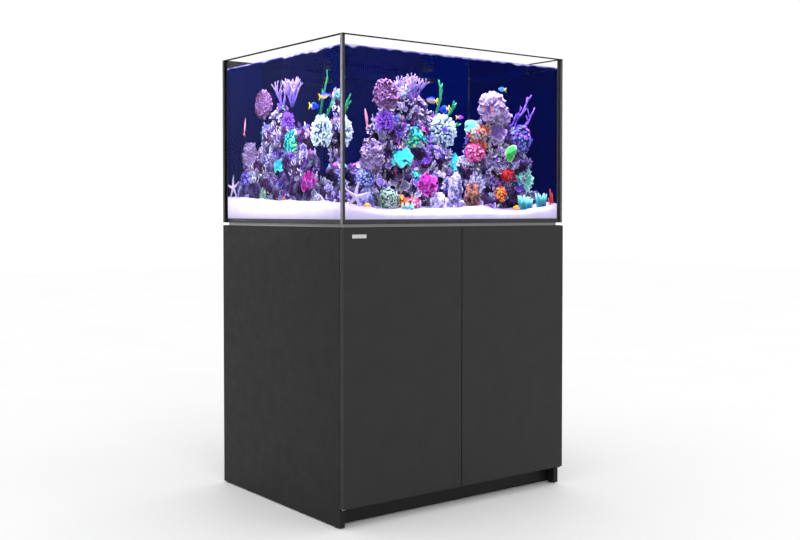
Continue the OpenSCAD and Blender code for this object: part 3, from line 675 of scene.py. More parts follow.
def polyps(b, c, rad, count, size, palette, base_col, facing=(-0.6, -0.8, 0.3), lim=-0.2):
    """A mound covered in small open polyps."""
    rnd = b.rnd
    c = Vector(c)
    face = Vector(facing).normalized()

    def shape(d):
        k = 1 + 0.24 * noise.noise(d * 2.4 + c * 9)
        return k, scl(base_col, 0.8 + 0.3 * noise.noise(d * 6))

    b.ball(c, rad, 28, 18, fn=shape)
    size = size * 0.84
    for d in fib(int(count * 1.5)):
        d = (d + Vector((rnd.uniform(-.13, .13), rnd.uniform(-.13, .13), rnd.uniform(-.13, .13)))).normalized()
        if d.dot(face) < lim and d.z < 0.4:
            continue
        k = 1 + 0.24 * noise.noise(d * 2.4 + c * 9)
        p = c + Vector((d.x * rad[0], d.y * rad[1], d.z * rad[2])) * k
        nrm = Vector((d.x / rad[0], d.y / rad[1], d.z / rad[2])).normalized()
        nrm = (nrm + Vector((rnd.uniform(-.25, .25), rnd.uniform(-.25, .25), rnd.uniform(-.1, .3)))).normalized()
        x = nrm.cross(Vector((0.2, 0.3, 0.93))).normalized()
        y = nrm.cross(x)
        s = size * rnd.uniform(0.75, 1.2)
        ca, cb = rnd.choice(palette)
        n = 10
        vs, cs, fs = [], [], []
        prof = [(0.45, -0.6, 0.5), (0.55, 0.25, 0.7), (1.0, 0.55, 1.0), (0.62, 0.42, 0.9), (0.3, 0.32, 1.0)]
        cols = [scl(cb, .5), cb, cb, scl(ca, 0.7), ca]
        for (rr, hh, _), cc in zip(prof, cols):
            for i in range(n):
                a = 2 * pi * i / n
                wob = 1 + (0.16 * (i % 2) if rr == 1.0 else 0)
                vs.append(p + (x * cos(a) + y * sin(a)) * rr * s * wob + nrm * hh * s)
                cs.append(cc)
        for j in range(len(prof) - 1):
            for i in range(n):
                a0, b0 = j * n + i, j * n + (i + 1) % n
                fs.append((a0, b0, b0 + n, a0 + n))
        vs.append(p + nrm * 0.42 * s)
        cs.append(scl(ca, 1.3))
        e = (len(prof) - 1) * n
        for i in range(n):
            fs.append((e + i, e + (i + 1) % n, len(vs) - 1))
        fs.append(tuple(reversed(range(n))))
        b.add(vs, fs, cs)


def brain(b, c, r, c0, c1, freq=26, amp=0.05, seg=96, rings=64, squash=1.0):
    def shape(d):
        v = noise.fractal(d * r * freq + Vector((3, 1, 2)), 1.0, 2.0, 2)
        ridge = min(1.0, abs(v) * 3.2)
        # painted shade: the sunk grooves take a darker copy of the ridge colour
        return 1 - amp * (1 - ridge), mixc(c0, c1, ridge)
    b.ball(c, (r, r, r * squash), seg, rings, fn=shape)


def shelves(b, c, r, count, c0, c1, facing=(-0.55, -0.75, 0.35), spread=0.6, height=0.1, thick=0.004, waves=5, amp=0.3, small=1.0):
    """Overlapping leafy plates that stand out towards the light."""
    rnd = b.rnd
    c = Vector(c)
    for k in range(count):
        t = k / max(1, count - 1)
        off = Vector((rnd.uniform(-1, 1) * r * spread, rnd.uniform(-1, 1) * r * spread * 0.5, (t - 0.5) * height))
        up = Vector(facing) + Vector((rnd.uniform(-.7, .7), rnd.uniform(-.5, .5), rnd.uniform(-0.1, 0.9)))
        rr = r * rnd.uniform(0.45, 0.75) * small
        b.cap(c + off, rr, up, waves + rnd.choice([0, 1, 2]), rr * amp, thick, scl(c0, rnd.uniform(.8, 1.1)), c1, rings=6, seg=48, seed=rnd.uniform(0, 9))


def fish(b, p, length, heading, body_c, belly_c, tail_c, fin_c, tall=0.36):
    """A small reef fish: lofted body, forked tail, fins and eyes."""
    d = Vector(heading).normalized()
    s = d.cross(Vector((0, 0, 1))).normalized()
    u = s.cross(d).normalized()
    p = Vector(p)
    prof = [(0.5, 0.02), (0.46, 0.25), (0.36, 0.6), (0.2, 0.92), (0.02, 1.0), (-0.16, 0.86), (-0.3, 0.5), (-0.38, 0.26), (-0.42, 0.2)]
    n = 12
    vs, cs, fs = [], [], []
    for t, k in prof:
        for i in range(n):
            a = 2 * pi * i / n
            vs.append(p + d * t * length + u * sin(a) * k * tall * length * 0.5 + s * cos(a) * k * tall * length * 0.2)
            cc = mixc(belly_c, body_c, 0.5 + 0.5 * sin(a))
            if t < -0.28:
                cc = mixc(cc, tail_c, 0.8)
            cs.append(cc)
    for j in range(len(prof) - 1):
        for i in range(n):
            a0, b0 = j * n + i, j * n + (i + 1) % n
            fs.append((a0, a0 + n, b0 + n, b0))
    fs.append(tuple(range(n)))
    fs.append(tuple(reversed(range(len(vs) - n, len(vs)))))
    b.add(vs, fs, cs)

    def fin(outline, col):
        k = len(outline)
        vs, cs, fs = [], [], []
        for side in (1, -1):
            for x, z in outline:
                vs.append(p + d * x * length + u * z * length + s * side * 0.006 * length)
                cs.append(scl(col, 0.8 + 0.3 * abs(z) * 2))
        fs.append(tuple(range(k)))
        fs.append(tuple(reversed(range(k, 2 * k))))
        for i in range(k):
            j = (i + 1) % k
            fs.append((i, i + k, j + k, j))
        b.add(vs, fs, cs)

    fin([(-0.38, 0.04), (-0.52, 0.2), (-0.62, 0.22), (-0.54, 0.06), (-0.52, 0), (-0.54, -0.06), (-0.62, -0.22), (-0.52, -0.2), (-0.38, -0.04)], tail_c)
    h = tall * 0.5
    fin([(0.26, h * 0.75), (0.1, h * 1.25), (-0.1, h * 1.3), (-0.3, h * 1.05), (-0.34, h * 0.4), (-0.1, h * 0.85), (0.1, h * 0.95)], fin_c)
    fin([(0.05, -h * 0.95), (-0.08, -h * 1.3), (-0.3, -h * 1.0), (-0.34, -h * 0.4), (-0.12, -h * 0.82)], fin_c)
    for side in (1, -1):
        b.ball(p + d * 0.37 * length + u * 0.03 * length + s * side * tall * 0.085 * length, [0.022 * length] * 3, 8, 6, col=(0.01, 0.01, 0.01))


# ------------------------------------------------------------------ rock work
LEFT_ROCKS = [(-.392, .262, .995, .044), (-.384, .190, 1.0, .050), (-.380, .110, 1.010, .054), (-.378, .030, 1.005, .054), (-.378, -.060, 1.0, .052),
              (-.384, -.150, .985, .048), (-.386, .150, 1.085, .046), (-.376, .060, 1.090, .050), (-.378, -.030, 1.080, .050), (-.380, -.120, 1.070, .044),
              (-.384, .110, 1.165, .042), (-.378, .010, 1.165, .044), (-.380, -.080, 1.150, .042), (-.384, .044, 1.230, .036)]
CENTRE_ROCKS = [(-.330, -.230, .962, .046), (-.322, -.225, 1.040, .042), (-.230, -.160, .975, .070), (-.130, -.160, .990, .084), (-.030, -.150, .990, .084),
                (.046, -.130, .980, .060), (-.160, -.150, 1.080, .074), (-.060, -.120, 1.095, .084), (.030, -.100, 1.090, .066), (-.170, -.140, 1.170, .062),
                (-.070, -.090, 1.190, .074), (.020, -.060, 1.200, .050), (-.120, -.110, 1.265, .056), (-.030, -.070, 1.270, .040)]
RIGHT_ROCKS = [(.150, -.234, .972, .056), (.200, -.235, .985, .066), (.290, -.225, .975, .066), (.350, -.240, .960, .050), (.150, -.210, 1.070, .060),
               (.240, -.215, 1.080, .068), (.320, -.225, 1.065, .054), (.170, -.200, 1.160, .052), (.260, -.205, 1.170, .054), (.220, -.200, 1.230, .040),
               (.310, -.230, 1.150, .042)]
CORALLINE = [(0.05, 0.04, 0.15), (0.30, 0.24, 0.55), (0.62, 0.56, 0.86), (0.14, 0.10, 0.34), (0.34, 0.14, 0.34), (0.50, 0.46, 0.76), (0.05, 0.05, 0.16)]


def reef_rock(name, balls, node_name, seed):
    b = Build(seed)
    for x, y, z, r in balls:
        b.ball((x, y, z), (r * 1.02, r * 1.02, r * 1.02), 24, 16, col=(0, 0, 0))
        for k in range(3):
            d = Vector((b.rnd.uniform(-1, 1), b.rnd.uniform(-1, 1), b.rnd.uniform(-1, 1))).normalized()
            q = r * b.rnd.uniform(0.35, 0.55)
            b.ball(Vector((x, y, z)) + d * r * 0.75, (q, q, q * 0.8), 14, 10, col=(0, 0, 0))
    me = bpy.data.meshes.new(name)
    me.from_pydata(b.v, [], b.f)
    ob = bpy.data.objects.new(name, me)
    scene.collection.objects.link(ob)
    rm = ob.modifiers.new("r", "REMESH")
    rm.mode = "VOXEL"
    rm.voxel_size = 0.0062
    dg = bpy.context.evaluated_depsgraph_get()
    me2 = bpy.data.meshes.new_from_object(ob.evaluated_get(dg))
    ob.modifiers.clear()
    ob.data = me2
    at = me2.color_attributes.new("col", "FLOAT_COLOR", "POINT")
    flat = []
    nor = [v.normal.copy() for v in me2.vertices]
    for i, v in enumerate(me2.vertices):
        p = v.co.copy()
        f = noise.fractal(p * 22 + Vector((seed, 0, 0)), 1.0, 2.1, 4)
        pit = noise.noise(p * 75 + Vector((0, seed, 0)))
        v.co = p + nor[i] * (0.011 * f - 0.0045 * max(0.0, pit) * 2)
        v.co.x = min(0.4385, max(-0.4385, v.co.x))
        t = noise.noise(p * 15 + Vector((7, seed, 1))) * 0.5 + 0.5
        u = noise.noise(p * 42 + Vector((1, 9, seed))) * 0.5 + 0.5
        a = min(0.999, max(0.0, t * 1.5 - 0.25)) * (len(CORALLINE) - 1)
        k = int(a)
        c = mixc(CORALLINE[k], CORALLINE[min(k + 1, len(CORALLINE) - 1)], a - k)
        # painted light and shade: the rock colour is lighter on upward-facing surfaces and darker in the pits
        c = scl(c, (0.45 + 0.75 * u) * (1 - 0.75 * max(0, pit) * 1.3) * (0.75 + 0.35 * nor[i].z))
        flat += [deep(c[0]) * .62, deep(c[1]) * .58, deep(c[2]) * .64, 1]
    at.data.foreach_set("color", flat)
    me2.polygons.foreach_set("use_smooth", [True] * len(me2.polygons))
    me2.materials.clear()
    me2.materials.append(M["rock"])
    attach(ob, ROOT)
    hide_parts(node_name)
    return ob


reef_rock("reef_rock_left", LEFT_ROCKS, "rock_left", 3)
reef_rock("reef_rock_centre", CENTRE_ROCKS, "rock_centre", 5)
reef_rock("reef_rock_right", RIGHT_ROCKS, "rock_right", 8)

# ------------------------------------------------------------------ sand bed
ROCKS = [bpy.data.objects["reef_rock_left"], bpy.data.objects["reef_rock_centre"], bpy.data.objects["reef_rock_right"]]


def dune(x, y):
    """Sand banked up in the two front corners."""
    return (0.027 * exp(-((x - .445) / .105) ** 2) * exp(-((y + .33) / .17) ** 2)
            + 0.021 * exp(-((x + .445) / .095) ** 2) * exp(-((y + .31) / .20) ** 2)
            + 0.010 * exp(-((x - .10) / .05) ** 2) * exp(-((y + .27) / .06) ** 2))


def sand_height(y, x=None):
    if x is not None:
        return sand_height(y) + dune(x, y)
    prof = [(-.351, .930), (-.300, .938), (-.240, .943), (-.120, .951), (0, .959), (.120, .967), (.230, .974), (.354, .979)]
    for (a, ha), (b_, hb) in zip(prof, prof[1:]):
        if y <= b_:
            t = max(0, (y - a) / (b_ - a))
            return ha + (hb - ha) * t
    return prof[-1][1]


def sand():
    b = Build(11)
    nx, ny = 150, 120
    x0, x1, y0, y1 = -.4398, .4398, -.3508, .3538
    vs, cs, fs = [], [], []
    for j in range(ny + 1):
        for i in range(nx + 1):
            x = x0 + (x1 - x0) * i / nx
            y = y0 + (y1 - y0) * j / ny
            h = sand_height(y, x)
            edge = min(1, (y - y0) / 0.02)
            h += (0.006 * noise.fractal(Vector((x * 9, y * 9, 1)), 1, 2, 4) + 0.0012 * noise.noise(Vector((x * 120, y * 120, 4)))) * (0.35 + 0.65 * edge)
            near = 9
            for q in LEFT_ROCKS[:6] + CENTRE_ROCKS[:6] + RIGHT_ROCKS[:4]:
                near = min(near, sqrt((x - q[0]) ** 2 + (y - q[1]) ** 2) - q[3])
            if 0 < near < 0.03:
                h += 0.005 * (1 - near / 0.03)
            t = 0.85 + 0.3 * noise.noise(Vector((x * 30, y * 30, 2)))
            c = mixc((0.60, 0.52, 0.92), (0.93, 0.90, 1.0), min(1, max(0, t - 0.25 + 0.4 * noise.noise(Vector((x * 7, y * 7, 8))))))
            vs.append((x, y, h))
            inner = 0 < i < nx and 0 < j < ny
            # painted shade: the sand is darkened to 0.62 where it touches the rocks
            cs.append(scl(c, 0.62 if near < 0.006 and inner else 1))
    w = nx + 1
    for j in range(ny):
        for i in range(nx):
            a = j * w + i
            fs.append((a, a + 1, a + w + 1, a + w))
    base = len(vs)
    ring = [i for i in range(w)] + [j * w + nx for j in range(1, ny + 1)] + [ny * w + i for i in range(nx - 1, -1, -1)] + [j * w for j in range(ny - 1, 0, -1)]
    for r in ring:
        vs.append((vs[r][0], vs[r][1], .9032))
        cs.append((0.8, 0.76, 0.95))
    m = len(ring)
    for k in range(m):
        l = (k + 1) % m
        fs.append((ring[l], ring[k], base + k, base + l))
    fs.append(tuple(base + k for k in range(m - 1, -1, -1)))
    b.add(vs, fs, cs)
    # loose grains and shell bits on the surface
    for k in range(900):
        x = b.rnd.uniform(-.43, .43)
        y = b.rnd.uniform(-.345, .05)
        r = b.rnd.uniform(.0010, .0026)
        g = b.rnd.uniform(.6, 1)
        b.ball((x, y, sand_height(y, x) + 0.002), (r, r * b.rnd.uniform(.6, 1), r * .7), 6, 4, col=(g, g * .95, min(1, g * 1.05)))
    return b.make("sand_surface", M["sand"], ["sand_bed"])


sand()

# ------------------------------------------------------------------ corals
LAV, LAVW = (0.20, 0.13, 0.50), (0.74, 0.60, 0.92)
GRN, GRNW = (0.01, 0.12, 0.06), (0.10, 0.56, 0.28)
PUR, PURW = (0.07, 0.03, 0.36), (0.36, 0.22, 0.80)


def antler(b, pts, r, c0, c1, twigs=6, tl=.02, spread=.8):
    """A curved stem through pts with short side twigs."""
    rnd = b.rnd
    pts = [Vector(q) for q in pts]
    n = len(pts)
    b.tube(pts, [r * (1 - .5 * i / (n - 1)) for i in range(n)], [mixc(c0, c1, i / (n - 1)) for i in range(n)], n=8)
    for k in range(twigs):
        t = (k + .8) / (twigs + .3) * (n - 1)
        i = min(n - 2, int(t))
        q = pts[i].lerp(pts[i + 1], t - i)
        d = (pts[i + 1] - pts[i]).normalized()
        side = Vector((rnd.uniform(-1, 1), rnd.uniform(-.6, .4), rnd.uniform(-.3, 1)))
        e = (d * .8 + side * spread).normalized()
        l = tl * rnd.uniform(.6, 1.2)
        b.tube([q, q + e * l * .55, q + e * l + Vector((0, 0, l * .15))], [r * .62, r * .5, r * .36], [mixc(c0, c1, t / n), mixc(c0, c1, .5 + .5 * t / n), c1], n=7)

b = Build(21)
branching(b, (-.085, -.118, 1.290), .17, .095, .0044, LAV, LAVW, arms=6)
branching(b, (-.052, -.114, 1.292), .14, .085, .0042, LAV, LAVW, arms=4)
branching(b, (-.370, -.010, 1.262), .13, .105, .0044, LAV, LAVW, arms=6)
branching(b, (-.376, .040, 1.262), .11, .105, .0042, LAV, LAVW, arms=4)
b.make("branching_coral_lavender", M["stony"], ["branching_corals"])

b = Build(22)
antler(b, [(.058, -.078, 1.215), (.052, -.086, 1.262), (.064, -.092, 1.300), (.060, -.096, 1.345)], .0062, GRN, GRNW, 9, .022)
antler(b, [(.082, -.078, 1.215), (.094, -.088, 1.245), (.104, -.096, 1.262), (.118, -.100, 1.285)], .0052, GRN, GRNW, 8, .020)
antler(b, [(.096, -.088, 1.200), (.118, -.100, 1.222), (.132, -.104, 1.216)], .0046, GRN, GRNW, 5, .016)
antler(b, [(-.376, -.168, 1.200), (-.378, -.186, 1.250), (-.374, -.196, 1.290), (-.372, -.214, 1.335)], .0060, GRN, GRNW, 9, .022)
antler(b, [(-.372, -.196, 1.200), (-.372, -.226, 1.240), (-.374, -.240, 1.262)], .0050, GRN, GRNW, 7, .020)
b.make("branching_coral_green", M["stony"])

b = Build(23)
antler(b, [(.252, -.255, 1.190), (.292, -.262, 1.228), (.326, -.266, 1.262), (.352, -.266, 1.312)], .0062, PUR, PURW, 10, .026)
antler(b, [(.262, -.255, 1.182), (.312, -.264, 1.206), (.348, -.268, 1.226), (.368, -.268, 1.262)], .0056, PUR, PURW, 9, .024)
antler(b, [(.292, -.262, 1.228), (.300, -.270, 1.252), (.312, -.272, 1.268)], .0044, PUR, PURW, 5, .018)
b.make("branching_coral_purple", M["stony"])

def rugged(b, c, r, c0, c1, c2, seed, ruffles=26, rr=.017, back=(0, 1, 0)):
    """A rough rounded colony: broken relief with small ruffled lobes all round."""
    def shape(d):
        v = noise.fractal(d * 2.6 + Vector((seed, 2, 1)), 1, 2, 5)
        u = noise.noise(d * 13 + Vector((seed, 0, 0)))
        q = noise.noise(d * 5 + Vector((0, seed, 3)))
        # painted shade: the colour follows the relief noise v, darker in the hollows and lighter on the crests
        col = mixc(c0, c1, min(1, max(0, .42 + v * 1.5 + u * 1.1)))
        return 1 + .30 * v + .08 * u, mixc(col, c2, min(.8, max(0, q * 2.2 - .25)))
    b.ball(c, r, 72, 48, fn=shape)
    for d in fib(ruffles):
        if d.dot(Vector(back)) > .35:
            continue
        p = Vector(c) + Vector((d.x * r[0], d.y * r[1], d.z * r[2])) * .96
        up = (d * b.rnd.uniform(.25, .9) + Vector((b.rnd.uniform(-.45, .45), b.rnd.uniform(-.45, .45), b.rnd.uniform(.3, 1)))).normalized()
        k = b.rnd.uniform(.6, 1.15)
        b.cap(p, rr * b.rnd.uniform(.65, 1.2), up, 5 + int(b.rnd.uniform(0, 3)), rr * .34, .0034, scl(mixc(c0, c1, .35), k), scl(c1, 1.15 * k), rings=5, seg=36, seed=b.rnd.uniform(0, 9))


b = Build(24)
rugged(b, (-.214, -.205, 1.292), (.033, .028, .040), (0.10, 0.04, 0.16), (0.56, 0.34, 0.60), (0.52, 0.18, 0.30), 11.0, 84, .017)
rugged(b, (-.388, .150, 1.285), (.024, .034, .038), (0.10, 0.04, 0.16), (0.56, 0.34, 0.60), (0.52, 0.18, 0.30), 12.0, 84, .016, back=(1, 0, 0))
rugged(b, (-.296, -.262, 1.10), (.026, .024, .046), (0.16, 0.10, 0.30), (0.66, 0.54, 0.78), (0.62, 0.14, 0.24), 13.0, 90, .018)
rugged(b, (-.400, .230, 1.11), (.022, .030, .044), (0.16, 0.10, 0.30), (0.66, 0.54, 0.78), (0.62, 0.14, 0.24), 14.0, 84, .017, back=(1, 0, 0))
b.make("plate_corals", M["stony"])

b = Build(25)
bushy(b, (.060, -.118, 1.192), (.052, .044, .060), 420, .02, .0034, (0.12, 0.20, 0.34), (0.74, 0.86, 0.94), ball_tip=True)
bushy(b, (-.380, -.186, 1.170), (.046, .048, .056), 380, .02, .0032, (0.12, 0.20, 0.34), (0.74, 0.86, 0.94), ball_tip=True)
b.make("bushy_corals", M["fleshy"], ["round_corals"])

b = Build(26)
bushy(b, (-.222, -.214, 1.206), (.036, .030, .038), 220, .03, .0036, (0.10, 0.03, 0.26), (0.45, 0.22, 0.85))
bushy(b, (.122, -.262, 1.010), (.034, .030, .056), 240, .03, .0034, (0.30, 0.28, 0.46), (0.80, 0.78, 0.98))
bushy(b, (-.398, -.010, 1.215), (.030, .034, .030), 150, .03, .0034, (0.10, 0.03, 0.26), (0.45, 0.22, 0.85))
b.make("tufted_corals", M["fleshy"])

b = Build(27)
TEAL = [((0.05, 0.95, 0.70), (0.04, 0.35, 0.30)), ((0.55, 1.0, 0.25), (0.05, 0.42, 0.38)), ((0.1, 0.8, 0.95), (0.03, 0.28, 0.36))]
polyps(b, (-.090, -.170, 1.160), (.040, .030, .038), 130, .0062, TEAL, (0.02, 0.18, 0.18))
polyps(b, (-.392, -.036, 1.145), (.034, .042, .038), 130, .0062, TEAL, (0.02, 0.18, 0.18), facing=(-1, -.3, .2))
polyps(b, (-.108, -.212, 1.040), (.022, .020, .018), 60, .0052, TEAL, (0.02, 0.18, 0.18))
PINK = [((1.0, 0.35, 0.55), (0.75, 0.06, 0.30)), ((0.2, 0.95, 0.75), (0.60, 0.10, 0.35)), ((1.0, 0.55, 0.20), (0.65, 0.08, 0.12))]
polyps(b, (-.135, -.255, .950), (.032, .026, .022), 90, .0056, PINK, (0.22, 0.05, 0.20))
polyps(b, (.136, -.250, 1.182), (.034, .026, .026), 100, .0058, PINK, (0.30, 0.04, 0.16))
polyps(b, (.124, -.252, 1.122), (.034, .026, .030), 110, .0062, [((1.0, 0.25, 0.60), (0.95, 0.05, 0.40)), ((1.0, 0.7, 0.85), (0.85, 0.04, 0.35))], (0.30, 0.02, 0.14))
BLUEP = [((0.35, 0.35, 1.0), (0.22, 0.08, 0.60)), ((0.65, 0.35, 1.0), (0.20, 0.10, 0.70)), ((0.3, 0.7, 1.0), (0.15, 0.10, 0.50))]
polyps(b, (.322, -.262, 1.172), (.040, .030, .046), 140, .0060, BLUEP, (0.08, 0.04, 0.24))
polyps(b, (.246, -.286, 1.050), (.026, .022, .018), 70, .0050, [((0.9, 0.08, 0.10), (0.45, 0.01, 0.04))], (0.25, 0.01, 0.03))
ORED = [((1.0, 0.45, 0.10), (0.85, 0.10, 0.03)), ((1.0, 0.75, 0.2), (0.80, 0.12, 0.05))]
polyps(b, (.206, -.305, .985), (.020, .018, .024), 60, .0048, ORED, (0.30, 0.04, 0.02))
polyps(b, (-.184, -.262, .960), (.014, .014, .020), 40, .0046, ORED, (0.35, 0.03, 0.02))
polyps(b, (-.412, .006, .965), (.013, .015, .020), 40, .0046, ORED, (0.35, 0.03, 0.02), facing=(-1, -.3, .2))
polyps(b, (-.400, .245, 1.035), (.030, .036, .030), 90, .0056, BLUEP, (0.08, 0.04, 0.24), facing=(-1, -.3, .2))
polyps(b, (-.322, -.262, 1.030), (.030, .024, .026), 90, .0054, [((0.55, 0.65, 1.0), (0.22, 0.26, 0.62))], (0.12, 0.12, 0.30))
b.make("polyp_colonies", M["fleshy"])

b = Build(28)
TQ, TQW = (0.05, 0.44, 0.48), (0.26, 0.86, 0.78)


def leather(b, c, r, up, waves, amp, c0, c1, stalk, layers=1):
    c = Vector(c)
    # painted shade: each lower layer is 12% darker, and the stalk is darker towards its foot, under the top cap
    for k in range(layers):
        o = Vector((b.rnd.uniform(-.3, .3) * r, b.rnd.uniform(-.2, .2) * r, -k * r * 0.42)) if k else Vector((0, 0, 0))
        b.cap(c + o, r * (1 - 0.08 * k), up, waves + k, r * amp, r * 0.13, scl(c0, 1 - .12 * k), c1, rings=10, seg=84, dome=0.28, seed=k * 2.3 + c.x * 40)
    u = Vector(up).normalized()
    b.tube([Vector(stalk), (Vector(stalk) + c) / 2, c - u * r * 0.05], [r * .42, r * .34, r * .5], [scl(c0, .6), scl(c0, .7), scl(c0, .8)], n=16, round_tip=False)


leather(b, (-.160, -.226, 1.104), .037, (-.25, -.50, .85), 5, .20, TQ, TQW, (-.150, -.19, 1.06), 2)
leather(b, (.098, -.142, 1.096), .034, (-.25, -.60, .75), 5, .26, TQ, TQW, (.080, -.11, 1.06), 2)
leather(b, (-.404, .030, 1.090), .033, (-.60, -.25, .75), 5, .22, TQ, TQW, (-.385, .03, 1.06), 2)
b.make("leather_corals_turquoise", M["leathery"], ["soft_corals"])

b = Build(29)
rugged(b, (.204, -.240, 1.276), (.052, .036, .045), (0.26, 0.16, 0.48), (0.80, 0.70, 0.94), (0.92, 0.46, 0.46), 3.0)
rugged(b, (.250, -.236, 1.248), (.032, .026, .030), (0.26, 0.16, 0.48), (0.74, 0.66, 0.92), (0.90, 0.42, 0.36), 5.0, 14, .014)
leather(b, (.222, -.252, 1.192), .034, (-.35, -.75, .5), 6, .20, (0.30, 0.20, 0.46), (0.82, 0.70, 0.92), (.235, -.215, 1.17), 2)
b.make("leather_corals_lavender", M["leathery"])

b = Build(30)
MAG, MAGW = (0.46, 0.03, 0.36), (0.95, 0.30, 0.85)
for (x, y, z), f in (((-.066, -.242, 1.008), (-.5, -.75, .4)), ((-.404, -.140, 1.012), (-.9, -.35, .3))):
    for k in range(7):
        a = k * 2.4
        o = Vector((cos(a) * .018 * (k > 0), 0, sin(a) * .016 * (k > 0)))
        if f[0] < -.8:
            o = Vector((0, o.x, o.z))
        b.cap(Vector((x, y, z)) + o + Vector(f) * .004 * k, .026 - .001 * k, Vector(f) + Vector((b.rnd.uniform(-.4, .4), b.rnd.uniform(-.3, .3), b.rnd.uniform(-.2, .5))), 6 + k % 3, .011, .0036, MAG, MAGW, rings=7, seg=60, seed=k * 1.7)
b.make("lobed_coral_magenta", M["fleshy"])

b = Build(31)
leather(b, (.112, -.240, 1.208), .025, (-.45, -.70, .5), 4, .16, (0.14, 0.46, 0.36), (0.48, 0.86, 0.66), (.135, -.215, 1.19), 1)
for k in range(9):
    a = k * 2.4
    b.cap(Vector((.325 + cos(a) * .022, -.276 + 0.002 * k, 1.036 + sin(a) * .030)), .022, Vector((-.5 + b.rnd.uniform(-.3, .3), -.7, .5 + b.rnd.uniform(-.3, .3))), 7, .009, .0032, (0.28, 0.70, 0.60), (0.75, 1.0, 0.92), rings=6, seg=54, seed=k * 1.1)
b.cap((.259, -.290, 1.124), .030, (-.55, -.8, .1), 4, .004, .010, (0.10, 0.62, 0.16), (0.55, 1.0, 0.35), rings=8, seg=60, dome=.5, oval=.62)
b.make("mint_corals", M["fleshy"])

b = Build(32)
DOME = [((0.60, 0.86, 0.66), (0.24, 0.42, 0.34)), ((0.72, 0.90, 0.84), (0.20, 0.34, 0.30)), ((0.56, 0.62, 0.46), (0.20, 0.30, 0.22))]
polyps(b, (-.236, -.272, .966), (.035, .034, .034), 330, .0040, DOME, (0.06, 0.12, 0.10))
polyps(b, (-.404, .118, .984), (.031, .036, .036), 330, .0040, DOME, (0.06, 0.12, 0.10), facing=(-1, -.3, .2))
brain(b, (.246, -.292, 1.046), .018, (0.20, 0.01, 0.03), (0.85, 0.06, 0.12), freq=60, amp=.10, seg=48, rings=32, squash=.8)
b.make("brain_corals", M["fleshy"])

b = Build(33)
for cx, cy, n, h in ((.292, -.322, 16, .048), (.322, -.318, 10, .040), (.376, -.330, 12, .046), (-.180, -.300, 6, .02)):
    for k in range(n):
        a = b.rnd.uniform(0, 2 * pi)
        q = b.rnd.uniform(0, .020)
        x, y = cx + cos(a) * q, min(-.300 if cx < 0 else cy + .010, cy + sin(a) * q * .6)
        z = sand_height(y, x) - .002
        hh = h * b.rnd.uniform(.55, 1)
        tilt = Vector((cos(a), sin(a) * .4, 0)) * .25 * hh
        b.tube([(x, y, z), Vector((x, y, z + hh * .5)) + tilt * .5, Vector((x, y, z + hh)) + tilt], [.0056, .0048, .0026], [(0.02, 0.22, 0.26), (0.06, 0.50, 0.52), (0.55, 1.0, 0.92)], n=8)
b.make("cone_corals_teal", M["fleshy"])

b = Build(34)
for cx, cz, n in ((.150, 1.150, 10), (.118, 1.158, 8), (.170, 1.195, 8)):
    for k in range(n):
        a = 2 * pi * k / n
        d = Vector((cos(a) * .7, -.5, sin(a) * .7)).normalized()
        p = Vector((cx, -.245, cz))
        b.tube([p, p + d * .012, p + d * .024 + Vector((0, 0, .003))], [.0026, .0022, .0018], [(0.35, 0.10, 0.02), (0.65, 0.24, 0.05), (1.0, 0.62, 0.25)], n=6)
branching(b, (.160, -.250, 1.12), .05, .05, .0028, (0.35, 0.12, 0.03), (0.95, 0.55, 0.22), arms=5, levels=2)
for x, z0, z1 in ((.415, .925, 1.004), (.424, .925, .992), (.408, .925, .975)):
    b.tube([(x, -.332, z0), (x + .003, -.334, (z0 + z1) / 2), (x - .002, -.334, z1)], [.0034, .0030, .0022], [(0.35, 0.02, 0.03), (0.7, 0.05, 0.06), (1.0, 0.25, 0.18)], n=8)
b.make("sprig_corals", M["stony"])

# ------------------------------------------------------------------ encrusting growth all over the rock
GROW = [((0.24, 0.17, 0.50), (0.86, 0.80, 1.0), 5), ((0.40, 0.37, 0.60), (0.98, 0.96, 1.0), 4), ((0.12, 0.05, 0.30), (0.52, 0.32, 0.82), 3.5),
        ((0.04, 0.05, 0.32), (0.28, 0.36, 0.95), 1.5), ((0.02, 0.22, 0.26), (0.34, 0.90, 0.84), 1.2), ((0.32, 0.05, 0.20), (0.92, 0.44, 0.68), 1.2)]


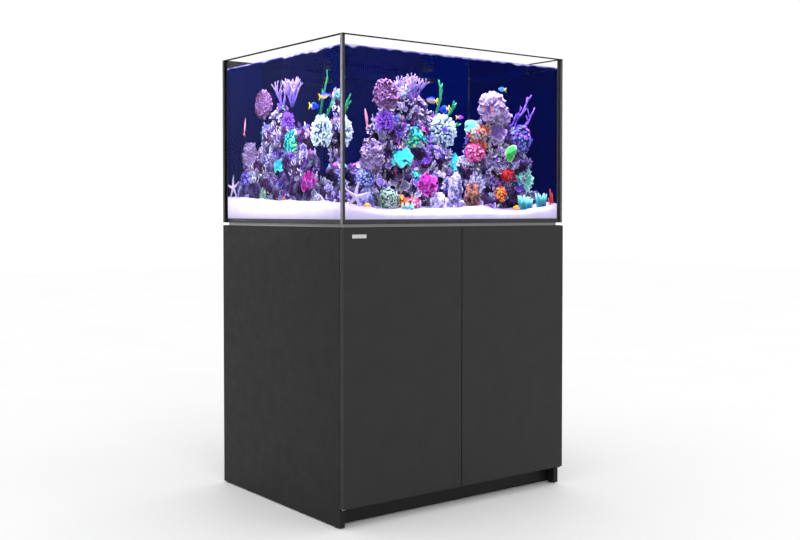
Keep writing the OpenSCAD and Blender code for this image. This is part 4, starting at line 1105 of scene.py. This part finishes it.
def encrust(b, rock, count, facing, lim=0.0):
    rnd = b.rnd
    me = rock.data
    polys = me.polygons
    face = Vector(facing).normalized()
    done = tries = 0
    while done < count and tries < count * 60:
        tries += 1
        pl = polys[rnd.randrange(len(polys))]
        n = pl.normal
        if n.dot(face) < lim:
            continue
        p = pl.center.copy()
        if p.z < sand_height(p.y, p.x) + .006 or abs(p.x) > .424 or p.y < -.328:
            continue
        done += 1
        fam = noise.noise(p * 9 + Vector((2, 5, 1))) * 1.6 + rnd.uniform(-.5, .5)
        tot = sum(g[2] for g in GROW)
        pick = (fam * .5 + .5) % 1.0 * tot
        for c0, c1, wt in GROW:
            pick -= wt
            if pick <= 0:
                break
        k = rnd.uniform(.42, 1.12)
        c0, c1 = scl(c0, k * .8), scl(c1, k)
        x = n.cross(Vector((0.3, 0.2, 0.93))).normalized()
        y = n.cross(x)
        kind = rnd.random()
        if kind < .34:
            for j in range(rnd.randrange(4, 8)):
                a, q = rnd.uniform(0, 2 * pi), rnd.uniform(0, .009)
                r = rnd.uniform(.0022, .0046)
                b.ball(p + (x * cos(a) + y * sin(a)) * q + n * rnd.uniform(0, .004), (r, r, r), 7, 5, col=mixc(c0, c1, rnd.random()))
        elif kind < .70:
            for j in range(rnd.randrange(3, 7)):
                a = rnd.uniform(0, 2 * pi)
                d = (n + (x * cos(a) + y * sin(a)) * rnd.uniform(.2, .9) + Vector((0, 0, .35))).normalized()
                l = rnd.uniform(.009, .019)
                r = rnd.uniform(.0014, .0024)
                q = p + (x * cos(a) + y * sin(a)) * .003
                b.tube([q - n * .003, q + d * l * .6, q + (d + Vector((0, 0, .2))) * l], [r, r * .9, r * .7], [c0, mixc(c0, c1, .5), c1], n=6)
        elif kind < .88:
            up = (n + Vector((rnd.uniform(-.3, .3), rnd.uniform(-.3, .3), rnd.uniform(.1, .9)))).normalized()
            r = rnd.uniform(.009, .017)
            b.cap(p + n * .003, r, up, rnd.randrange(4, 8), r * .26, .0026, scl(c0, 1.2), c1, rings=4, seg=26, seed=rnd.uniform(0, 9))
        else:
            for j in range(rnd.randrange(5, 10)):
                a, q = rnd.uniform(0, 2 * pi), rnd.uniform(.002, .012)
                r = rnd.uniform(.0020, .0032)
                o = p + (x * cos(a) + y * sin(a)) * q + n * .002
                b.ball(o, (r, r, r * .7), 7, 4, col=c1)
                b.ball(o + n * r * .5, (r * .5, r * .5, r * .5), 6, 4, col=scl(c0, .6))


b = Build(44)
encrust(b, ROCKS[0], 330, (-.95, -.25, .25), -.05)
encrust(b, ROCKS[0], 60, (0, -.3, .9), .2)
b.make("growth_left", M["stony"])
b = Build(45)
encrust(b, ROCKS[1], 620, (-.45, -.85, .25), -.05)
encrust(b, ROCKS[1], 90, (.3, .3, .9), 0)
b.make("growth_centre", M["stony"])
b = Build(46)
encrust(b, ROCKS[2], 420, (-.45, -.85, .25), -.05)
encrust(b, ROCKS[2], 60, (.3, .3, .9), 0)
b.make("growth_right", M["stony"])

# ------------------------------------------------------------------ loose rock pieces
b = Build(35)


def chunk(b, c, r, c0, c1, seed):
    def shape(d):
        v = noise.fractal(d * 1.7 + Vector((seed, 2, 1)), 1, 2, 5)
        u = noise.noise(d * 9 + Vector((seed, 0, 0)))
        # painted shade: the colour follows the relief noise v, darker in the hollows and lighter on the bulges
        return 1 + .28 * v + .05 * u, mixc(c0, c1, min(1, max(0, .5 + v * .9 + u * .3)))
    b.ball(c, r, 48, 32, fn=shape)


chunk(b, (-.030, -.248, .952), (.034, .024, .036), (0.42, 0.38, 0.60), (0.90, 0.88, 1.0), 1)
chunk(b, (.004, -.240, .945), (.026, .022, .026), (0.36, 0.32, 0.55), (0.85, 0.82, 0.98), 2)
chunk(b, (-.412, -.190, .950), (.024, .036, .032), (0.42, 0.38, 0.60), (0.90, 0.88, 1.0), 3)
chunk(b, (.094, -.282, .974), (.030, .024, .048), (0.10, 0.05, 0.06), (0.50, 0.28, 0.20), 4)
chunk(b, (.034, -.262, 1.004), (.026, .022, .050), (0.16, 0.14, 0.34), (0.85, 0.82, 1.0), 9)
chunk(b, (.148, -.290, .934), (.022, .018, .018), (0.20, 0.10, 0.14), (0.50, 0.34, 0.40), 5)
chunk(b, (-.326, -.282, .958), (.026, .020, .038), (0.14, 0.14, 0.34), (0.50, 0.52, 0.82), 6)
chunk(b, (-.410, .262, .985), (.022, .036, .040), (0.14, 0.14, 0.34), (0.50, 0.52, 0.82), 7)
chunk(b, (.060, -.268, .940), (.020, .018, .022), (0.26, 0.20, 0.40), (0.66, 0.60, 0.86), 8)
b.make("loose_rocks", M["rock"])

# ------------------------------------------------------------------ animals
def star(b, c, r, nrm, col, rot):
    c = Vector(c)
    nrm = Vector(nrm).normalized()
    x = nrm.cross(Vector((0, 0, 1))).normalized()
    y = x.cross(nrm)
    for k in range(5):
        a = rot + 2 * pi * k / 5
        d = x * cos(a) + y * sin(a)
        s = nrm.cross(d)
        bend = s * .12 * (1 if k % 2 else -1)
        pts = [c, c + d * r * .35, c + (d + bend * .5) * r * .7, c + (d + bend) * r]
        b.tube(pts, [r * .16, r * .12, r * .085, r * .035], [col, scl(col, .96), scl(col, .88), scl(col, .8)], n=10, flat=(1, 1))
        for j in range(7):
            q = c + (d + bend * j / 7) * r * (.12 + .12 * j) + nrm * r * (.16 - .018 * j)
            b.ball(q, [r * .028] * 3, 6, 5, col=(0.95, 0.85, 0.98))
    b.ball(c + nrm * r * .05, [r * .17] * 3, 12, 8, col=col)


b = Build(36)
star(b, (-.390, -.338, .974), .044, (-.1, -1, .05), (0.84, 0.74, 0.90), pi / 2 + .15)
star(b, (-.432, .318, 1.010), .042, (-1, -.1, .05), (0.80, 0.70, 0.88), pi / 2 - .1)
b.make("sea_stars", M["leathery"])

b = Build(37)
ROYAL, YEL = (0.03, 0.08, 0.95), (1.0, 0.80, 0.02)
fish(b, (-.060, -.255, 1.280), .052, (-.9, -.25, .05), ROYAL, (0.9, 0.75, 0.05), YEL, ROYAL)
fish(b, (-.014, -.262, 1.254), .054, (-.8, -.3, -.12), ROYAL, (0.03, 0.10, 0.7), YEL, (0.1, 0.3, 1.0))
fish(b, (-.412, -.228, 1.276), .046, (.1, -.9, .05), ROYAL, (0.9, 0.75, 0.05), YEL, ROYAL)
fish(b, (-.410, -.172, 1.250), .048, (.1, -.9, -.1), ROYAL, (0.03, 0.10, 0.7), YEL, (0.1, 0.3, 1.0))
fish(b, (.080, -.215, 1.236), .034, (.9, .1, .06), (0.45, 0.06, 0.75), (0.55, 0.15, 0.85), YEL, (0.5, 0.1, 0.8), tall=.32)
fish(b, (.040, -.172, 1.196), .036, (-.9, -.3, .1), (0.08, 0.06, 0.65), (0.35, 0.10, 0.75), (0.2, 0.5, 1.0), (0.2, 0.2, 0.9))
fish(b, (-.326, -.285, 1.212), .056, (-.25, -.15, .95), (0.90, 0.22, 0.40), (1.0, 0.62, 0.70), (0.95, 0.45, 0.5), (1.0, 0.4, 0.5), tall=.22)
fish(b, (-.416, .250, 1.216), .056, (-.1, -.25, .95), (0.90, 0.22, 0.40), (1.0, 0.62, 0.70), (0.95, 0.45, 0.5), (1.0, 0.4, 0.5), tall=.22)
fish(b, (.300, -.150, 1.345), .040, (-.9, -.2, .02), (0.02, 0.25, 0.85), (0.3, 0.7, 1.0), YEL, (0.05, 0.3, 0.9))
b.make("reef_fish", M["fish"])

b = Build(38)
for x, y, a in ((-.343, -.326, .3), (.258, -.330, -.2), (.270, -.318, .5)):
    z = sand_height(y, x) + .006
    d = Vector((cos(a), sin(a) * .4, 0))
    p = Vector((x, y, z))
    b.tube([p - d * .014, p - d * .006 + Vector((0, 0, .003)), p + d * .004 + Vector((0, 0, .003)), p + d * .013], [.003, .0052, .0056, .0036], [(0.95, 0.40, 0.05), (1.0, 0.55, 0.08), (1.0, 0.62, 0.15), (1.0, 0.45, 0.1)], n=10)
    b.tube([p + d * .011, p + d * .016 + Vector((0, 0, .007))], [.0012, .0008], [(0.3, 0.1, 0.4)] * 2, n=6)
b.make("sea_slugs", M["fleshy"])

# ------------------------------------------------------------------ water
def water():
    nx, ny = 72, 58
    x0, x1, y0, y1 = -.4397, .4397, -.3507, .3547
    zt, zb = WATER_Z, .9034
    vs, fs = [], []

    def wave(x, y):
        e = min(1, (x - x0) / .02, (x1 - x) / .02, (y - y0) / .02, (y1 - y) / .02)
        return (.0016 * noise.noise(Vector((x * 16, y * 20, 3))) + .0009 * sin(x * 55 + 9 * noise.noise(Vector((x * 5, y * 5, 0)))) ) * e

    for j in range(ny + 1):
        for i in range(nx + 1):
            x, y = x0 + (x1 - x0) * i / nx, y0 + (y1 - y0) * j / ny
            vs.append((x, y, zt + wave(x, y)))
    w = nx + 1
    for j in range(ny):
        for i in range(nx):
            a = j * w + i
            fs.append((a, a + 1, a + w + 1, a + w))
    top_faces = len(fs)
    ring = [i for i in range(w)] + [j * w + nx for j in range(1, ny + 1)] + [ny * w + i for i in range(nx - 1, -1, -1)] + [j * w for j in range(ny - 1, 0, -1)]
    base = len(vs)
    for r in ring:
        vs.append((vs[r][0], vs[r][1], zb))
    m = len(ring)
    for k in range(m):
        l = (k + 1) % m
        fs.append((ring[l], ring[k], base + k, base + l))
    fs.append(tuple(base + k for k in range(m - 1, -1, -1)))
    me = bpy.data.meshes.new("tank_water")
    me.from_pydata(vs, [], fs)
    me.polygons.foreach_set("use_smooth", [i < top_faces for i in range(len(fs))])
    me.materials.append(M["water"])
    ob = bpy.data.objects.new("tank_water", me)
    scene.collection.objects.link(ob)
    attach(ob, ROOT)
    return ob


water()


def column_glow(name, x, inward):
    """A painted glow (emission plane) standing in for the deep blue of the lit water column as it looks against an end
    pane from inside; nothing from outside.
    """
    m, nt, out = new_mat(name)
    vec = coords(nt)
    n1 = noise_tex(nt, vec, 5.0, 3)
    em = node(nt, "ShaderNodeEmission")
    link(nt, ramp(nt, n1.outputs["Fac"], [(0.3, (0.0030, 0.0040, 0.046)), (0.7, (0.0016, 0.0042, 0.072))]), em.inputs["Color"])
    tr = node(nt, "ShaderNodeBsdfTransparent")
    geo = node(nt, "ShaderNodeNewGeometry")
    lp = node(nt, "ShaderNodeLightPath")
    mx = node(nt, "ShaderNodeMath", operation="MAXIMUM")
    link(nt, geo.outputs["Backfacing"], mx.inputs[0])
    link(nt, lp.outputs["Is Shadow Ray"], mx.inputs[1])
    mix = node(nt, "ShaderNodeMixShader")
    link(nt, mx.outputs[0], mix.inputs["Fac"])
    link(nt, em.outputs["Emission"], mix.inputs[1])
    link(nt, tr.outputs["BSDF"], mix.inputs[2])
    link(nt, mix.outputs["Shader"], out.inputs["Surface"])
    m.use_backface_culling = True
    y0, y1, z0, z1 = -.3495, .3535, .906, WATER_Z - .006
    vs = [(x, y0, z0), (x, y1, z0), (x, y1, z1), (x, y0, z1)]
    me = bpy.data.meshes.new(name)
    me.from_pydata(vs, [], [(0, 1, 2, 3) if inward > 0 else (3, 2, 1, 0)])
    me.materials.append(m)
    ob = bpy.data.objects.new(name, me)
    scene.collection.objects.link(ob)
    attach(ob, ROOT)
    return ob


column_glow("column_glow_right", .4386, -1)
column_glow("column_glow_left", -.4386, 1)


def meniscus():
    """Painted highlight: the bright rippled line where the water surface meets the front and left panes, drawn as a
    glowing strip with a painted dark blue band under it.
    """
    m, nt, out = new_mat("water_line")
    at = node(nt, "ShaderNodeAttribute")
    at.attribute_name = "col"
    vec = coords(nt)
    n1 = noise_tex(nt, vec, 60, 4)
    f = maprange(nt, n1.outputs["Fac"], 0.3, 0.7, 0.6, 1.15)
    vm = node(nt, "ShaderNodeVectorMath", operation="SCALE")
    link(nt, at.outputs["Color"], vm.inputs[0])
    link(nt, f, vm.inputs["Scale"])
    p = node(nt, "ShaderNodeBsdfPrincipled")
    link(nt, vm.outputs["Vector"], p.inputs["Base Color"])
    link(nt, vm.outputs["Vector"], p.inputs["Emission Color"])
    p.inputs["Emission Strength"].default_value = 0.55
    p.inputs["Roughness"].default_value = 0.2
    link(nt, p.outputs["BSDF"], out.inputs["Surface"])
    b = Build(41)

    def strip(line, nrm):
        k = len(line)
        vs, cs, fs = [], [], []
        for i, (x, y) in enumerate(line):
            a = noise.noise(Vector((x * 26, y * 26, 5)))
            c = noise.noise(Vector((x * 70, y * 70, 9)))
            lo = WATER_Z - .0022 - .0075 * max(0, a + .25) - .0030 * max(0, c)
            hi = WATER_Z + .0012 + .0007 * c
            t = min(1, max(0, .5 + a))
            for z, o, cc in ((lo, 0, (0.05, 0.03, 0.50)), ((lo + 2 * hi) / 3, .0006, mixc((0.24, 0.18, 0.80), (0.95, 0.92, 1), t)), (hi, 0, (0.55, 0.52, 0.92))):
                vs.append((x + nrm[0] * o, y + nrm[1] * o, z))
                cs.append(cc)
            vs.append((x + nrm[0] * .0012, y + nrm[1] * .0012, (lo + hi) / 2))
            cs.append((0.4, 0.4, 0.9))
        for i in range(k - 1):
            for q in range(4):
                a0, b0 = i * 4 + q, i * 4 + (q + 1) % 4
                fs.append((a0, b0, b0 + 4, a0 + 4))
        fs.append((3, 2, 1, 0))
        fs.append(tuple((k - 1) * 4 + q for q in range(4)))
        b.add(vs, fs, cs)

    n = 360
    strip([(-.4392 + .8784 * i / n, -.35088) for i in range(n + 1)], (0, 1))
    strip([(-.43988, -.3500 + .7030 * i / n) for i in range(n + 1)], (1, 0))
    return b.make("water_line", m)


meniscus()

# ------------------------------------------------------------------ floor and light
def floor_mat():
    m, nt, out = new_mat("pale_floor")
    vec = coords(nt)
    n1 = noise_tex(nt, vec, 1.5, 3)
    p = node(nt, "ShaderNodeBsdfPrincipled")
    link(nt, ramp(nt, n1.outputs["Fac"], [(0.3, (0.92, 0.92, 0.92)), (0.7, (0.94, 0.94, 0.94))]), p.inputs["Base Color"])
    p.inputs["Roughness"].default_value = 0.6
    p.inputs["Specular IOR Level"].default_value = 0.2
    link(nt, p.outputs["BSDF"], out.inputs["Surface"])
    return m


me = bpy.data.meshes.new("floor")
R = 14
me.from_pydata([(-R, -R, 0), (R, -R, 0), (R, R, 0), (-R, R, 0)], [], [(0, 1, 2, 3)])
me.materials.append(floor_mat())
floor = bpy.data.objects.new("floor", me)
scene.collection.objects.link(floor)

w = bpy.data.worlds.new("studio")
w.use_nodes = True
bg = w.node_tree.nodes["Background"]
bg.inputs["Color"].default_value = (1.0, 1.0, 1.0, 1)
bg.inputs["Strength"].default_value = 1.06
scene.world = w


def area(name, loc, target, size, power, color=(1, 1, 1), hidden=True):
    l = bpy.data.lights.new(name, "AREA")
    l.shape = "RECTANGLE"
    l.size, l.size_y = size
    l.energy = power
    l.color = color
    o = bpy.data.objects.new(name, l)
    scene.collection.objects.link(o)
    o.location = loc
    d = Vector(target) - Vector(loc)
    o.rotation_euler = d.to_track_quat("-Z", "Y").to_euler()
    if hidden:
        o.visible_camera = False
        o.visible_transmission = False
        o.visible_glossy = False
    return o


lamp = area("reef_lamp", (-.01, -.10, 1.49), (-.01, -.08, 0.9), (.80, .50), 23, (0.86, 0.74, 1.0))
lamp.data.spread = radians(34)
fill = area("side_fill", (-1.5, -.35, 1.42), (-.40, .04, 1.19), (.5, .3), 3.2, (0.90, 0.86, 1.0))
fill.data.spread = radians(30)
area("key", (-1.6, -3.6, 3.0), (0, 0, 0.6), (2.2, 2.2), 30, (1, 1, 1), hidden=False)

# the reef lamps light the tank and not the studio floor
unlit = bpy.data.collections.new("not_lit_by_reef_lamps")
unlit.objects.link(floor)
unlit.collection_objects[0].light_linking.link_state = "EXCLUDE"
for o in (lamp, fill):
    o.light_linking.receiver_collection = unlit
